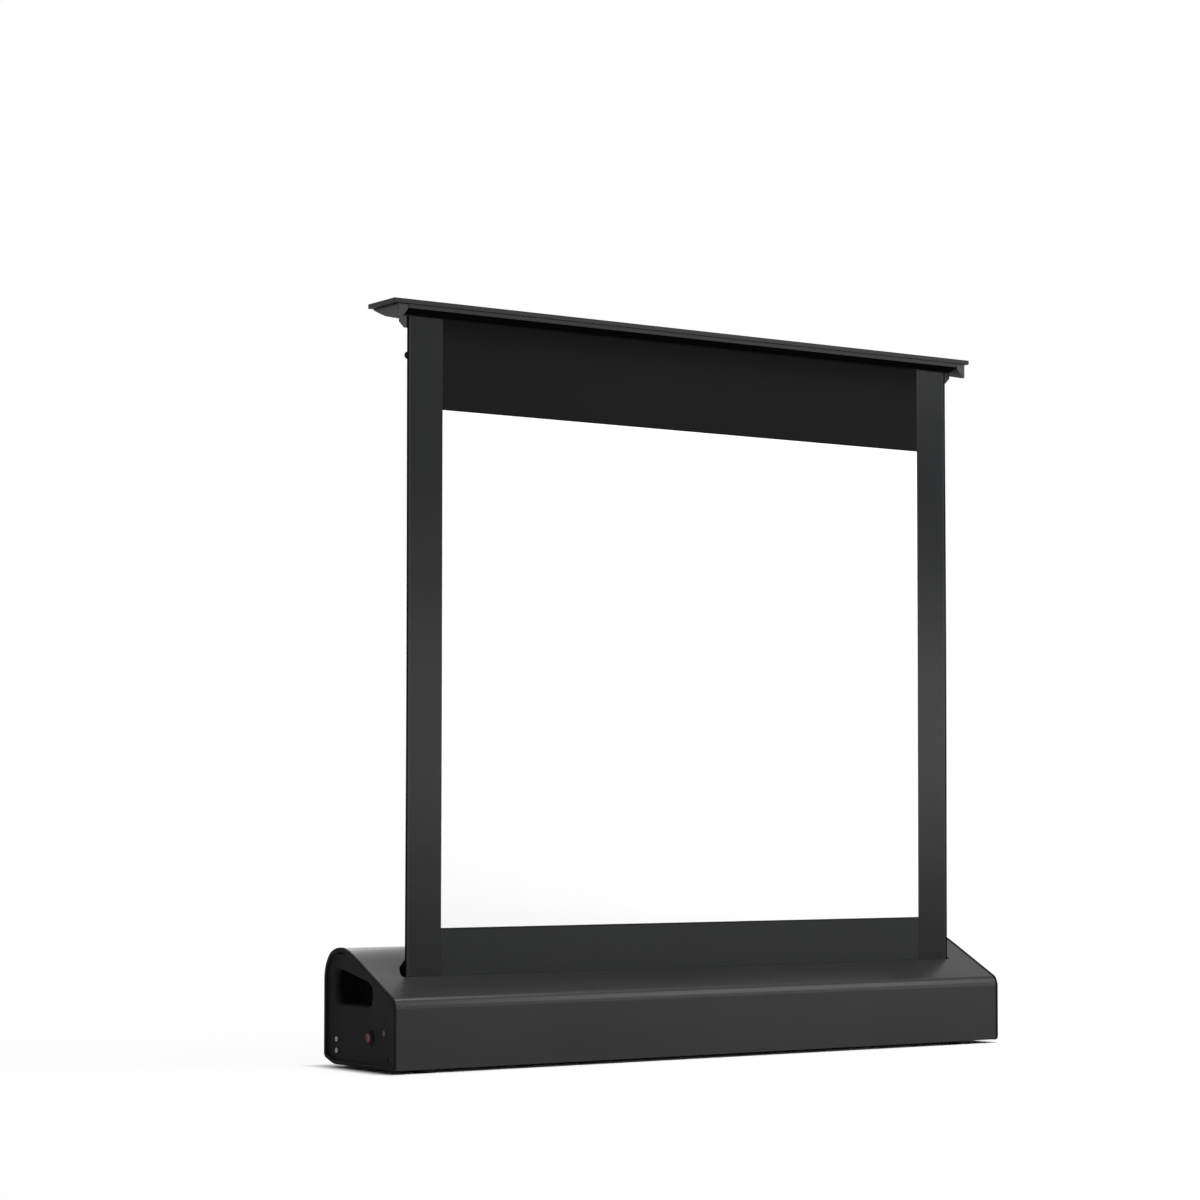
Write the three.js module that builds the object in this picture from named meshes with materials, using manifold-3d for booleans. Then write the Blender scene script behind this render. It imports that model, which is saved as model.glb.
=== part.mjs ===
// Pull up projection screen: a long low casing, a fabric on a spring roller, and a flat top bar that a
// two stage pantograph behind the fabric carries up and down. It is drawn with the screen pulled up.
// Millimetres. X runs along the screen, the picture faces -Y, Z is up. The origin is on the ground, under
// the middle of the casing.
import * as THREE from 'three';
import { mergeVertices } from 'three/addons/utils/BufferGeometryUtils.js';
import Module from 'manifold-3d';

const wasm = await Module();
wasm.setup();

// Driving dimensions of the whole screen
const overallHeight = 1204;
const casingLength = 1216;
const casingDepth = 221;
const casingHeight = 189;
const fabricFromFront = 68;
const fabricFromEnd = 58.5;
const topPlateFromEnd = 22;
const topPlateDepth = 84;
const topPlateFrontFromFabric = 23.5;

// Clearances
const seam = 0.3;
const overrun = 2;

// Casing shell
const shellWall = 2;
const footHeight = 6;
const cornerReach = 7;
const cornerSteps = 4;

// Opening in the casing's top: each end leans inwards a little at first, then more
const openingFromFabricEdge = 7.5;
const openingFrontFromFabric = 2;
const openingBackFromFabric = 57;
const openingEndRun = 26.5;
const openingEndLean = 11;
const openingEndSlant = 44;
const openingCornerReach = 8;

// End caps
const capThickness = 12;
const capProud = 1;
const capRimWidth = 6;
const capRimHeight = 4;

// Hand grip recess in each end cap
const gripRadius = 10;
const gripWall = 2.5;
const gripDepth = 50;

// Release button on the left end cap
const buttonFromFront = 81;
const buttonHeight = 52;
const buttonRadius = 7.5;
const buttonClearance = 0.4;
const buttonFlange = 2;
const buttonFlangeRadius = 9.5;
const buttonTail = 8;
const bezelRadius = 12;
const bezelHeight = 1.8;

// Cap screws, grey plug and front screws
const silverScrewFromBack = 37;
const silverScrewHeights = [44.6, 26.8];
const darkScrewFromFront = 19.6;
const darkScrewHeight = 21.2;
const plugFromFront = 36;
const plugHeight = 61.4;
const plugRadius = 4.5;
const plugThickness = 4;
const plugProud = 1;
const screwHeadRadius = 4;
const screwHeadThickness = 2;
const screwShankRadius = 1.6;
const screwSides = 12;
const darkScrewSink = 3;
const frontScrewFromEnd = 34;
const frontScrewHeight = 14.3;
const frontScrewRadius = 3.2;

// Tray and feet
const trayThickness = 2.5;
const trayFlangeHeight = 18;
const trayBackGap = 35;
const footRadius = 20;
const footFromEnd = 68;
const footFromFront = 26;
const footFromBack = 56;
const footSides = 32;

// Roller
const rollerHeight = 60;
const rollRadius = 22.5;
const rollWall = 3.2;
const tubeWall = 3;
const rollerSides = 32;
const plugGrip = 15;
const plugFlangeThickness = 3;
const plugShoulder = 10.2;
const rollerShaftRadius = 6;
const rollerShaftEndGap = 6;
const rollerBracketFromEnd = 10;
const rollerBracketThickness = 3;
const rollerBracketHalfWidth = 22;
const rollerBracketTop = 86;
const rollerBracketFoot = 20;
const springShaftRadius = 3.2;
const springShaftLength = 560;
const springRadius = 12;
const springLength = 470;

// Fabric, felt, batten and edge stays
const fabricThickness = 0.6;
const feltHeight = 7;
const feltThickness = 1.1;
const battenThickness = 6;
const battenHeight = 14;
const battenDrop = 19.5;
const battenChamfer = 9;
const battenWeb = 2.5;
const battenOverhang = 11.5;
const stayWidth = 12;
const stayThickness = 1.2;
const stayLength = 63;
const stayFromEdge = 5.5;
const stayLugRadius = 6;

// Top bar
const topPlateThickness = 7.5;
const barBodyDrop = 14.5;
const barBodyWall = 2;
const barBodyFrontInset = 4;
const barBodyDepth = 54;
const barBodyLipDrop = 6.5;
const barBodyLipTaper = 2;
const barBodyFrontTaper = 16;
const barBodyBackTaper = 14;
const barEndInset = 8;
const barEndThickness = 18;
const barEndDrop = 24.5;
const barEndShoulder = 8;
const barEndSlant = 13;

// Pantograph
const pivotFromEnd = 391.5;
const armWidth = 32;
const armThickness = 7;
const armBevel = 1;
const armLayerGap = 3;
const frontArmsFromFabric = 20.5;
const basePivotHeight = 44;
const topPivotDrop = 60;
const pinRadius = 5;
const pinHeadRadius = 11;
const pinHeadThickness = 2.2;
const pinSides = 20;
const armCurveSteps = 7;

// Rails, slide blocks and pivot brackets
const railWall = 2.5;
const railInside = 21;
const railDepth = 12;
const baseRailBeforePivot = 46.5;
const baseRailEndGap = 66;
const topRailEndGap = 55;
const blockLength = 36;
const blockDepth = 9.5;
const blockFromArm = 2.5;
const bracketWidth = 42;
const bracketThickness = 4;
const bracketFoot = 22;
const bracketReach = 20;
const frictionNutRadius = 14;
const frictionNutThickness = 10;
const nutFaces = 6;

// Places that follow from the sizes above
const frontY = -casingDepth / 2;
const fabricY = frontY + fabricFromFront;
const capFaceX = casingLength / 2;
const capBackX = capFaceX - capThickness;
const capPanelX = capFaceX - capRimHeight;
const shellEndX = capPanelX - seam;
const innerEndX = capBackX - seam;
const trayTop = footHeight + trayThickness;
const platformZ = trayTop + seam;
const fabricWidth = 2 * (capFaceX - fabricFromEnd);
const openingHalfLength = fabricWidth / 2 + openingFromFabricEdge;
const openingFrontY = fabricY - openingFrontFromFabric;
const openingBackY = fabricY + openingBackFromFabric;
const openingBendY = openingFrontY + openingEndRun;
const openingBendHalf = openingHalfLength - openingEndLean;
const openingBackHalf = openingHalfLength - openingEndSlant;
const plateBottomZ = overallHeight - topPlateThickness;
const plateFrontY = fabricY - topPlateFrontFromFabric;
const plateBackY = plateFrontY + topPlateDepth;
const barTopZ = plateBottomZ - seam;
const barBottomZ = plateBottomZ - barBodyDrop;
const topPlateHalf = capFaceX - topPlateFromEnd;
const barEndX = topPlateHalf - barEndInset;
const barEndInnerX = barEndX - barEndThickness;
const barBodyHalf = barEndInnerX - seam;
const armFrontY = fabricY + frontArmsFromFabric;
const armBackY = armFrontY + armThickness + armLayerGap;
const armBackEndY = armBackY + armThickness;
const topPivotHeight = overallHeight - topPivotDrop;
const elbowZ = (basePivotHeight + topPivotHeight) / 2;
const elbowX = capFaceX - pivotFromEnd;
const pivotX = -elbowX;

// Finishes
const finishes = {
  casing: { color: 0x2b2b2c, roughness: 0.42, metalness: 0 },
  cap: { color: 0x1b1b1c, roughness: 0.55, metalness: 0 },
  recess: { color: 0x0c0c0d, roughness: 0.6, metalness: 0 },
  rubber: { color: 0x141414, roughness: 0.85, metalness: 0 },
  red: { color: 0x8e1420, roughness: 0.3, metalness: 0 },
  silver: { color: 0xb4b6b8, roughness: 0.3, metalness: 1 },
  grey: { color: 0x6b6e70, roughness: 0.5, metalness: 0 },
  darkScrew: { color: 0x1d1d1f, roughness: 0.4, metalness: 1 },
  steel: { color: 0x8e9194, roughness: 0.4, metalness: 1 },
  blackArm: { color: 0x202122, roughness: 0.4, metalness: 0.6 },
  nylon: { color: 0xd8d6cf, roughness: 0.6, metalness: 0 },
  felt: { color: 0x101011, roughness: 0.95, metalness: 0 },
  border: { color: 0x33363a, roughness: 0.8, metalness: 0 },
  bar: { color: 0x2a2b2c, roughness: 0.35, metalness: 0.3 },
};

const group = new THREE.Group();

// A geometry's places alone, with its shared points merged
function plain(geometry) {
  const bare = geometry.clone();
  bare.deleteAttribute('normal');
  bare.deleteAttribute('uv');
  return mergeVertices(bare);
}

function solid(geometry) {
  const merged = plain(geometry);
  return new wasm.Manifold(new wasm.Mesh({
    numProp: 3,
    vertProperties: new Float32Array(merged.attributes.position.array),
    triVerts: new Uint32Array(merged.index.array),
  }));
}

function fromSolid(manifold) {
  const mesh = manifold.getMesh();
  const geometry = new THREE.BufferGeometry();
  geometry.setAttribute('position', new THREE.BufferAttribute(new Float32Array(mesh.vertProperties), 3));
  geometry.setIndex(new THREE.BufferAttribute(new Uint32Array(mesh.triVerts), 1));
  geometry.computeVertexNormals();
  return geometry;
}

function cut(geometry, ...tools) {
  return fromSolid(tools.reduce((body, tool) => body.subtract(solid(tool)), solid(geometry)));
}

function join(geometry, ...others) {
  return fromSolid(others.reduce((body, other) => body.add(solid(other)), solid(geometry)));
}

function addPiece(name, geometry, finish) {
  const mesh = new THREE.Mesh(geometry, new THREE.MeshStandardMaterial(finishes[finish]));
  mesh.name = name;
  group.add(mesh);
  return mesh;
}

function shapeOf(points) {
  return new THREE.Shape(points.map(([u, v]) => new THREE.Vector2(u, v)));
}

function extrusion(shape, length) {
  return new THREE.ExtrudeGeometry(shape, { depth: length, bevelEnabled: false, curveSegments: 6 });
}

// An outline of (Y, Z) points drawn out along X, from one X to another
function alongX(outline, fromX, toX) {
  const shape = outline instanceof THREE.Shape ? outline : shapeOf(outline);
  const axes = new THREE.Matrix4().makeBasis(
    new THREE.Vector3(0, 1, 0), new THREE.Vector3(0, 0, 1), new THREE.Vector3(1, 0, 0));
  return extrusion(shape, toX - fromX).applyMatrix4(axes.setPosition(fromX, 0, 0));
}

// An outline of (X, Z) points drawn out along Y, from one Y to another
function alongY(outline, fromY, toY) {
  const shape = outline instanceof THREE.Shape ? outline : shapeOf(outline);
  const axes = new THREE.Matrix4().makeBasis(
    new THREE.Vector3(1, 0, 0), new THREE.Vector3(0, 0, 1), new THREE.Vector3(0, -1, 0));
  return extrusion(shape, toY - fromY).applyMatrix4(axes.setPosition(0, toY, 0));
}

function block(fromX, toX, fromY, toY, fromZ, toZ) {
  const geometry = new THREE.BoxGeometry(toX - fromX, toY - fromY, toZ - fromZ);
  return geometry.translate((fromX + toX) / 2, (fromY + toY) / 2, (fromZ + toZ) / 2);
}

// A turned piece: profile points are (radius, place along the axis), closed back to the first
function turned(profile, sides) {
  const points = [...profile, profile[0]].map(([radius, place]) => new THREE.Vector2(radius, place));
  return new THREE.LatheGeometry(points, sides);
}

function turnedAlongX(profile, y, z, sides = pinSides) {
  return turned(profile, sides).rotateZ(-Math.PI / 2).translate(0, y, z);
}

function turnedAlongY(profile, x, z, sides = pinSides) {
  return turned(profile, sides).translate(x, 0, z);
}

function rodProfile(radius, from, to) {
  return [[0, from], [radius, from], [radius, to], [0, to]];
}

function ringProfile(inner, outer, from, to) {
  return [[inner, from], [outer, from], [outer, to], [inner, to]];
}

function mirrored(geometry) {
  const flipped = plain(geometry).applyMatrix4(new THREE.Matrix4().makeScale(-1, 1, 1));
  const index = flipped.index.array;
  for (let i = 0; i < index.length; i += 3) {
    [index[i + 1], index[i + 2]] = [index[i + 2], index[i + 1]];
  }
  flipped.computeVertexNormals();
  return flipped;
}

// Each corner of an open line of points becomes a short curve
function roundedLine(points, reach, steps) {
  const line = [points[0]];
  for (let i = 1; i < points.length - 1; i += 1) {
    const corner = new THREE.Vector2(...points[i]);
    const before = new THREE.Vector2(...points[i - 1]).sub(corner);
    const after = new THREE.Vector2(...points[i + 1]).sub(corner);
    const size = Math.min(reach, before.length() / 2, after.length() / 2);
    const curve = new THREE.QuadraticBezierCurve(
      corner.clone().add(before.setLength(size)), corner, corner.clone().add(after.setLength(size)));
    curve.getPoints(steps).forEach((point) => line.push([point.x, point.y]));
  }
  line.push(points[points.length - 1]);
  return line.filter((point, i) => i === 0 || Math.hypot(
    point[0] - line[i - 1][0], point[1] - line[i - 1][1]) > seam / 10);
}

// The line moved sideways: to the right of its run when distance is positive
function offsetLine(line, distance) {
  const sides = line.slice(1).map((point, i) => new THREE.Vector2(
    point[1] - line[i][1], line[i][0] - point[0]).normalize());
  return line.map((point, i) => {
    const first = sides[Math.max(i - 1, 0)];
    const second = sides[Math.min(i, sides.length - 1)];
    const move = first.clone().add(second).multiplyScalar(distance / (1 + first.dot(second)));
    return [point[0] + move.x, point[1] + move.y];
  });
}

// A closed outline with rounded corners, grown by a given amount when its points run clockwise
function roundedOutline(corners, reach, grow) {
  const start = corners[0].map((place, axis) => (place + corners[corners.length - 1][axis]) / 2);
  const line = roundedLine([start, ...corners, start], reach, cornerSteps);
  return offsetLine([...line.slice(0, -1), line[0]], -grow).slice(0, -1);
}

// Casing section, from the front's bottom edge over the ridge to the back's bottom edge
const casingShares = [
  [0, 0], [0, 0.53], [0.0226, 0.595], [0.577, 0.9235], [0.674, 0.9836], [0.801, 1],
  [0.923, 0.951], [0.982, 0.842], [1, 0.754], [1, 0.054], [0.862, 0],
];
const casingCorners = casingShares.map(([depthShare, heightShare]) => [
  frontY + casingDepth * depthShare, footHeight + (casingHeight - footHeight) * heightShare]);
const casingLine = roundedLine(casingCorners, cornerReach, cornerSteps);
const casingInnerLine = offsetLine(casingLine, shellWall);

function heightOn(line, y) {
  const i = line.findIndex((point, k) => k > 0 && point[0] >= y && line[k - 1][0] < y);
  const [before, after] = [line[i - 1], line[i]];
  const share = (y - before[0]) / (after[0] - before[0]);
  return before[1] + share * (after[1] - before[1]);
}

// The stretch of a line up to a place, and the stretch beyond one, each with a point at the place itself
function lineBefore(line, y) {
  return [...line.slice(0, line.findIndex((point) => point[0] >= y)), [y, heightOn(line, y)]];
}

function lineAfter(line, y) {
  return [[y, heightOn(line, y)], ...line.slice(line.findIndex((point) => point[0] > y))];
}

// The casing's wall as an outline, for a stretch of the casing's line
function wallOutline(stretch) {
  return [...stretch(casingLine), ...stretch(casingInnerLine).reverse()];
}

// Front casing, with a hole for each front screw
function frontCasing() {
  const wall = wallOutline((line) => lineBefore(line, openingFrontY));
  const shell = alongX(wall, -shellEndX, shellEndX);
  const holes = [-1, 1].map((side) => turnedAlongY(
    rodProfile(frontScrewRadius + seam, frontY - overrun, frontY + shellWall + overrun),
    side * (capFaceX - frontScrewFromEnd), frontScrewHeight));
  return cut(shell, ...holes);
}
addPiece('front_casing', frontCasing(), 'casing');

// Rear casing
addPiece('rear_casing', alongX(wallOutline((line) => lineAfter(line, openingBackY)),
  -shellEndX, shellEndX), 'casing');

// The two ends of the opening
const openingCorners = [
  [openingHalfLength, openingFrontY], [openingBendHalf, openingBendY], [openingBackHalf, openingBackY],
  [-openingBackHalf, openingBackY], [-openingBendHalf, openingBendY], [-openingHalfLength, openingFrontY],
];

function openingEnd() {
  const wall = wallOutline((line) => lineBefore(lineAfter(line, openingFrontY + seam), openingBackY - seam));
  const strip = alongX(wall, -shellEndX, -openingBackHalf + openingCornerReach);
  const opening = shapeOf(roundedOutline(openingCorners, openingCornerReach, 0));
  return cut(strip, extrusion(opening, casingHeight).translate(0, 0, footHeight));
}
addPiece('opening_end_left', openingEnd(), 'casing');
addPiece('opening_end_right', mirrored(openingEnd()), 'casing');

// Hand grip recess: its top edge follows the casing's slope
const gripShares = [
  [0.362, 0.531], [0.338, 0.66], [0.394, 0.72], [0.845, 0.822], [0.868, 0.7], [0.82, 0.531],
];
const gripCorners = gripShares.map(([depthShare, heightShare]) => [
  frontY + casingDepth * depthShare, casingHeight * heightShare]);
function gripOutline(grow) {
  return roundedOutline(gripCorners, gripRadius, grow);
}

// End cap: a rim that covers the casing's end, round a sunk panel that plugs into the casing
function capOutline(grow) {
  return offsetLine(casingLine, -grow);
}

function capScrewHole(y, z) {
  return turnedAlongX(rodProfile(screwShankRadius + seam, -capFaceX - overrun, -capBackX + overrun), y, z);
}

function counterbore(y, z, radius, depth) {
  return turnedAlongX(rodProfile(radius + seam, -capFaceX - overrun, -capPanelX + depth), y, z);
}

const buttonY = frontY + buttonFromFront;
const silverScrewY = frontY + casingDepth - silverScrewFromBack;
const darkScrewY = frontY + darkScrewFromFront;
const plugY = frontY + plugFromFront;

function endCap(hasButton) {
  const rim = alongX(capOutline(capProud), -capFaceX, -capPanelX);
  const plug = alongX(capOutline(-shellWall - seam), -capPanelX, -capBackX);
  const sunkPart = cut(alongX(capOutline(-capRimWidth), -capFaceX - overrun, -capPanelX), block(
    -capFaceX - capRimWidth, -capBackX, frontY, frontY + casingDepth, 0, footHeight + capRimWidth));
  const tools = [
    sunkPart,
    alongX(gripOutline(0), -capFaceX - overrun, -capBackX + overrun),
    ...silverScrewHeights.map((height) => capScrewHole(silverScrewY, height)),
    counterbore(darkScrewY, darkScrewHeight, screwHeadRadius, darkScrewSink),
    capScrewHole(darkScrewY, darkScrewHeight),
  ];
  if (hasButton) {
    tools.push(turnedAlongX(rodProfile(buttonRadius + buttonClearance,
      -capFaceX - overrun, -capBackX + overrun), buttonY, buttonHeight));
    tools.push(counterbore(plugY, plugHeight, plugRadius, plugThickness - plugProud + seam));
  }
  return cut(join(rim, plug), ...tools);
}
addPiece('end_cap_left', endCap(true), 'cap');
addPiece('end_cap_right', mirrored(endCap(false)), 'cap');

// Hand grip cup behind each recess
function gripCup() {
  const backX = -capFaceX + gripDepth;
  const outer = alongX(gripOutline(gripWall), -innerEndX, backX);
  return cut(outer, alongX(gripOutline(0), -capFaceX, backX - gripWall));
}
addPiece('grip_cup_left', gripCup(), 'recess');
addPiece('grip_cup_right', mirrored(gripCup()), 'recess');

// Screws: a flat round head and a shank
function screwProfile(headRadius, headThickness, face, end) {
  return [[0, face], [headRadius, face], [headRadius, face + headThickness],
    [screwShankRadius, face + headThickness], [screwShankRadius, end], [0, end]];
}

function capScrew(y, z, face) {
  const profile = screwProfile(screwHeadRadius, screwHeadThickness, face, -capBackX + overrun);
  return turnedAlongX(profile, y, z, screwSides);
}
const proudScrewFace = -capPanelX - screwHeadThickness - seam;
const sunkScrewFace = -capPanelX + darkScrewSink - screwHeadThickness - seam;
const capScrews = [
  ['upper', capScrew(silverScrewY, silverScrewHeights[0], proudScrewFace), 'silver'],
  ['lower', capScrew(silverScrewY, silverScrewHeights[1], proudScrewFace), 'silver'],
  ['front', capScrew(darkScrewY, darkScrewHeight, sunkScrewFace), 'darkScrew'],
];
capScrews.forEach(([place, screw, finish]) => {
  addPiece(`cap_screw_left_${place}`, screw, finish);
  addPiece(`cap_screw_right_${place}`, mirrored(screw), finish);
});

// Grey plug
addPiece('cap_plug_left', turnedAlongX(rodProfile(plugRadius, -capPanelX - plugProud,
  -capPanelX + plugThickness - plugProud), plugY, plugHeight), 'grey');

// Release button, flush with the cap's rim, and the bezel round it
function releaseButton() {
  const flangeFace = -capBackX + seam;
  return turnedAlongX([[0, -capFaceX], [buttonRadius, -capFaceX], [buttonRadius, flangeFace],
    [buttonFlangeRadius, flangeFace], [buttonFlangeRadius, flangeFace + buttonFlange],
    [springShaftRadius, flangeFace + buttonFlange], [springShaftRadius, flangeFace + buttonTail],
    [0, flangeFace + buttonTail]], buttonY, buttonHeight);
}
addPiece('release_button', releaseButton(), 'red');
addPiece('button_bezel', turnedAlongX(ringProfile(buttonRadius + buttonClearance, bezelRadius,
  -capPanelX - seam - bezelHeight, -capPanelX - seam), buttonY, buttonHeight), 'cap');

// Tray that closes the casing's underside, with an upturned flange behind the front wall
function baseTray() {
  const front = frontY + shellWall + seam;
  const back = frontY + casingDepth - trayBackGap;
  const flangeTop = footHeight + trayFlangeHeight;
  const section = [[front, footHeight], [back, footHeight], [back, trayTop],
    [front + trayThickness, trayTop], [front + trayThickness, flangeTop], [front, flangeTop]];
  const holes = [-1, 1].map((side) => turnedAlongY(
    rodProfile(screwShankRadius + seam, front - overrun, front + trayThickness + overrun),
    side * (capFaceX - frontScrewFromEnd), frontScrewHeight));
  return cut(alongX(section, -innerEndX, innerEndX), ...holes);
}
addPiece('base_tray', baseTray(), 'casing');

// Front screws, flush in the front wall
function frontScrew(side) {
  const shankEnd = frontY + shellWall + seam + trayThickness + overrun;
  return turnedAlongY(screwProfile(frontScrewRadius, screwHeadThickness, frontY + seam, shankEnd),
    side * (capFaceX - frontScrewFromEnd), frontScrewHeight, screwSides);
}
addPiece('front_screw_left', frontScrew(-1), 'darkScrew');
addPiece('front_screw_right', frontScrew(1), 'darkScrew');

// Feet
function foot(x, y) {
  const disc = new THREE.CylinderGeometry(footRadius, footRadius, footHeight - seam, footSides);
  return disc.rotateX(Math.PI / 2).translate(x, y, (footHeight - seam) / 2);
}
const footX = capFaceX - footFromEnd;
const footFrontY = frontY + footFromFront;
const footBackY = frontY + casingDepth - footFromBack;
addPiece('foot_front_left', foot(-footX, footFrontY), 'rubber');
addPiece('foot_front_right', foot(footX, footFrontY), 'rubber');
addPiece('foot_back_left', foot(-footX, footBackY), 'rubber');
addPiece('foot_back_right', foot(footX, footBackY), 'rubber');

// Roller: tube, the fabric left on it, a plug in each end, and a bracket under each shaft
const fabricFrontY = fabricY - fabricThickness / 2;
const rollerY = fabricFrontY - seam - rollRadius;
const tubeRadius = rollRadius - rollWall - seam;
const tubeBore = tubeRadius - tubeWall;
const rollerBracketX = capBackX - rollerBracketFromEnd;
const tubeHalf = rollerBracketX - rollerBracketThickness - plugShoulder - plugFlangeThickness - seam;
addPiece('roller_tube', turnedAlongX(ringProfile(tubeBore, tubeRadius, -tubeHalf, tubeHalf),
  rollerY, rollerHeight, rollerSides), 'steel');
addPiece('fabric_roll', turnedAlongX(ringProfile(tubeRadius + seam, rollRadius,
  -fabricWidth / 2, fabricWidth / 2), rollerY, rollerHeight, rollerSides), 'border');

function rollerPlug() {
  const gripRadiusInTube = tubeBore - seam;
  const shaftEnd = capBackX - rollerShaftEndGap;
  const bore = springShaftRadius + seam;
  return turnedAlongX([[bore, -tubeHalf + plugGrip], [bore, -shaftEnd], [rollerShaftRadius, -shaftEnd],
    [rollerShaftRadius, -tubeHalf - seam - plugFlangeThickness],
    [tubeRadius, -tubeHalf - seam - plugFlangeThickness], [tubeRadius, -tubeHalf - seam],
    [gripRadiusInTube, -tubeHalf - seam], [gripRadiusInTube, -tubeHalf + plugGrip]],
  rollerY, rollerHeight);
}
addPiece('roller_plug_left', rollerPlug(), 'nylon');
addPiece('roller_plug_right', mirrored(rollerPlug()), 'nylon');

function rollerBracket() {
  const outer = -rollerBracketX;
  const inner = outer + rollerBracketThickness;
  const section = [[outer, platformZ], [inner + rollerBracketFoot, platformZ],
    [inner + rollerBracketFoot, platformZ + rollerBracketThickness],
    [inner, platformZ + rollerBracketThickness], [inner, rollerBracketTop], [outer, rollerBracketTop]];
  const plate = alongY(section, rollerY - rollerBracketHalfWidth, rollerY + rollerBracketHalfWidth);
  const bearing = turnedAlongX(rodProfile(rollerShaftRadius + seam, outer - overrun, inner + overrun),
    rollerY, rollerHeight);
  return cut(plate, bearing);
}
addPiece('roller_bracket_left', rollerBracket(), 'steel');
addPiece('roller_bracket_right', mirrored(rollerBracket()), 'steel');

// Spring shaft, held in the left end cap, and the winding spring round it
addPiece('spring_shaft', turnedAlongX(rodProfile(springShaftRadius, -innerEndX,
  -innerEndX + springShaftLength), rollerY, rollerHeight), 'steel');
const springStart = -tubeHalf + plugGrip + plugFlangeThickness;
addPiece('roller_spring', turnedAlongX(ringProfile(springShaftRadius + seam, springRadius,
  springStart, springStart + springLength), rollerY, rollerHeight), 'steel');

// Screen fabric, from the roller up to the bar body
addPiece('screen_fabric', block(-fabricWidth / 2, fabricWidth / 2, fabricFrontY,
  fabricFrontY + fabricThickness, rollerHeight, barBottomZ - seam), 'border');

// Felt strip that the fabric brushes past at the opening's front edge
const feltTop = heightOn(casingLine, openingFrontY);
const feltHalf = openingHalfLength - openingCornerReach;
addPiece('slot_felt', block(-feltHalf, feltHalf,
  fabricFrontY - seam - feltThickness, fabricFrontY - seam, feltTop - feltHeight, feltTop), 'felt');

// Top plate
addPiece('top_plate', block(-topPlateHalf, topPlateHalf, plateFrontY, plateBackY,
  plateBottomZ, overallHeight), 'bar');

// Bar body: a hollow section under the plate, with a shallow front lip and an underside that falls back
function barBody() {
  const front = plateFrontY + barBodyFrontInset;
  const back = front + barBodyDepth;
  const outline = [[front, barTopZ], [front + barBodyLipTaper, plateBottomZ - barBodyLipDrop],
    [front + barBodyFrontTaper, barBottomZ], [back - barBodyBackTaper, barBottomZ], [back, barTopZ]];
  const hollow = [[front + 2 * barBodyWall, barTopZ - barBodyWall],
    [front + barBodyFrontTaper + barBodyWall, barBottomZ + barBodyWall],
    [back - barBodyBackTaper - barBodyWall, barBottomZ + barBodyWall],
    [back - 2 * barBodyWall, barTopZ - barBodyWall]];
  const shape = shapeOf(outline);
  shape.holes.push(shapeOf(hollow));
  return alongX(shape, -barBodyHalf, barBodyHalf);
}
addPiece('bar_body', barBody(), 'bar');

// Bar ends: wedges, deepest at the front, that follow the casing's slope; their inner side slants too
const barEndShares = [
  [0.03, 0], [0.03, 0.97], [0.06, 1], [0.225, 0.88], [0.375, 0.765], [0.525, 0.65], [0.67, 0.47],
  [0.82, 0.27], [0.97, 0.06], [0.97, 0],
];
function barEnd() {
  const bottom = plateBottomZ - barEndDrop;
  const outline = barEndShares.map(([depthShare, dropShare]) => [
    plateFrontY + topPlateDepth * depthShare, barTopZ - (barTopZ - bottom) * dropShare]);
  const shoulder = plateBottomZ - barEndShoulder;
  const slant = [[-barEndInnerX, shoulder], [-barEndInnerX - barEndSlant, bottom],
    [-barEndInnerX - barEndSlant, bottom - overrun], [-barEndInnerX + overrun, bottom - overrun],
    [-barEndInnerX + overrun, shoulder]];
  return cut(alongX(outline, -barEndX, -barEndInnerX), alongY(slant, plateFrontY, plateBackY));
}
addPiece('bar_end_left', barEnd(), 'bar');
addPiece('bar_end_right', mirrored(barEnd()), 'bar');

// Batten: clamps the fabric's top edge to the bar body, its ends standing out past the fabric
const battenFrontY = fabricFrontY + fabricThickness + seam;
const battenTopZ = plateBottomZ - battenDrop;
const battenBottomZ = battenTopZ - battenHeight;
function batten() {
  const half = fabricWidth / 2 + battenOverhang;
  const foot = half - battenChamfer;
  const cornerZ = battenBottomZ + battenChamfer;
  const bar = alongY([[-half, battenTopZ], [-half, cornerZ], [-foot, battenBottomZ], [foot, battenBottomZ],
    [half, cornerZ], [half, battenTopZ]], battenFrontY, battenFrontY + battenThickness);
  const web = block(-fabricWidth / 2, fabricWidth / 2, battenFrontY, battenFrontY + battenWeb,
    battenBottomZ, barBottomZ - seam);
  return join(bar, web);
}
addPiece('fabric_batten', batten(), 'blackArm');

// Edge stays: thin strips behind the fabric's top corners, each with a round lug at its foot
function edgeStay() {
  const outerX = -fabricWidth / 2 + stayFromEdge;
  const backY = battenFrontY + battenThickness + seam;
  const bottom = battenTopZ - stayLength;
  const shape = new THREE.Shape();
  shape.moveTo(outerX + stayWidth, bottom);
  shape.lineTo(outerX + stayWidth, battenTopZ);
  shape.lineTo(outerX, battenTopZ);
  shape.absarc(outerX, bottom + stayLugRadius, stayLugRadius, Math.PI / 2, Math.PI * 1.5);
  return alongY(shape, backY, backY + stayThickness);
}
addPiece('edge_stay_left', edgeStay(), 'blackArm');
addPiece('edge_stay_right', mirrored(edgeStay()), 'blackArm');

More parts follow.
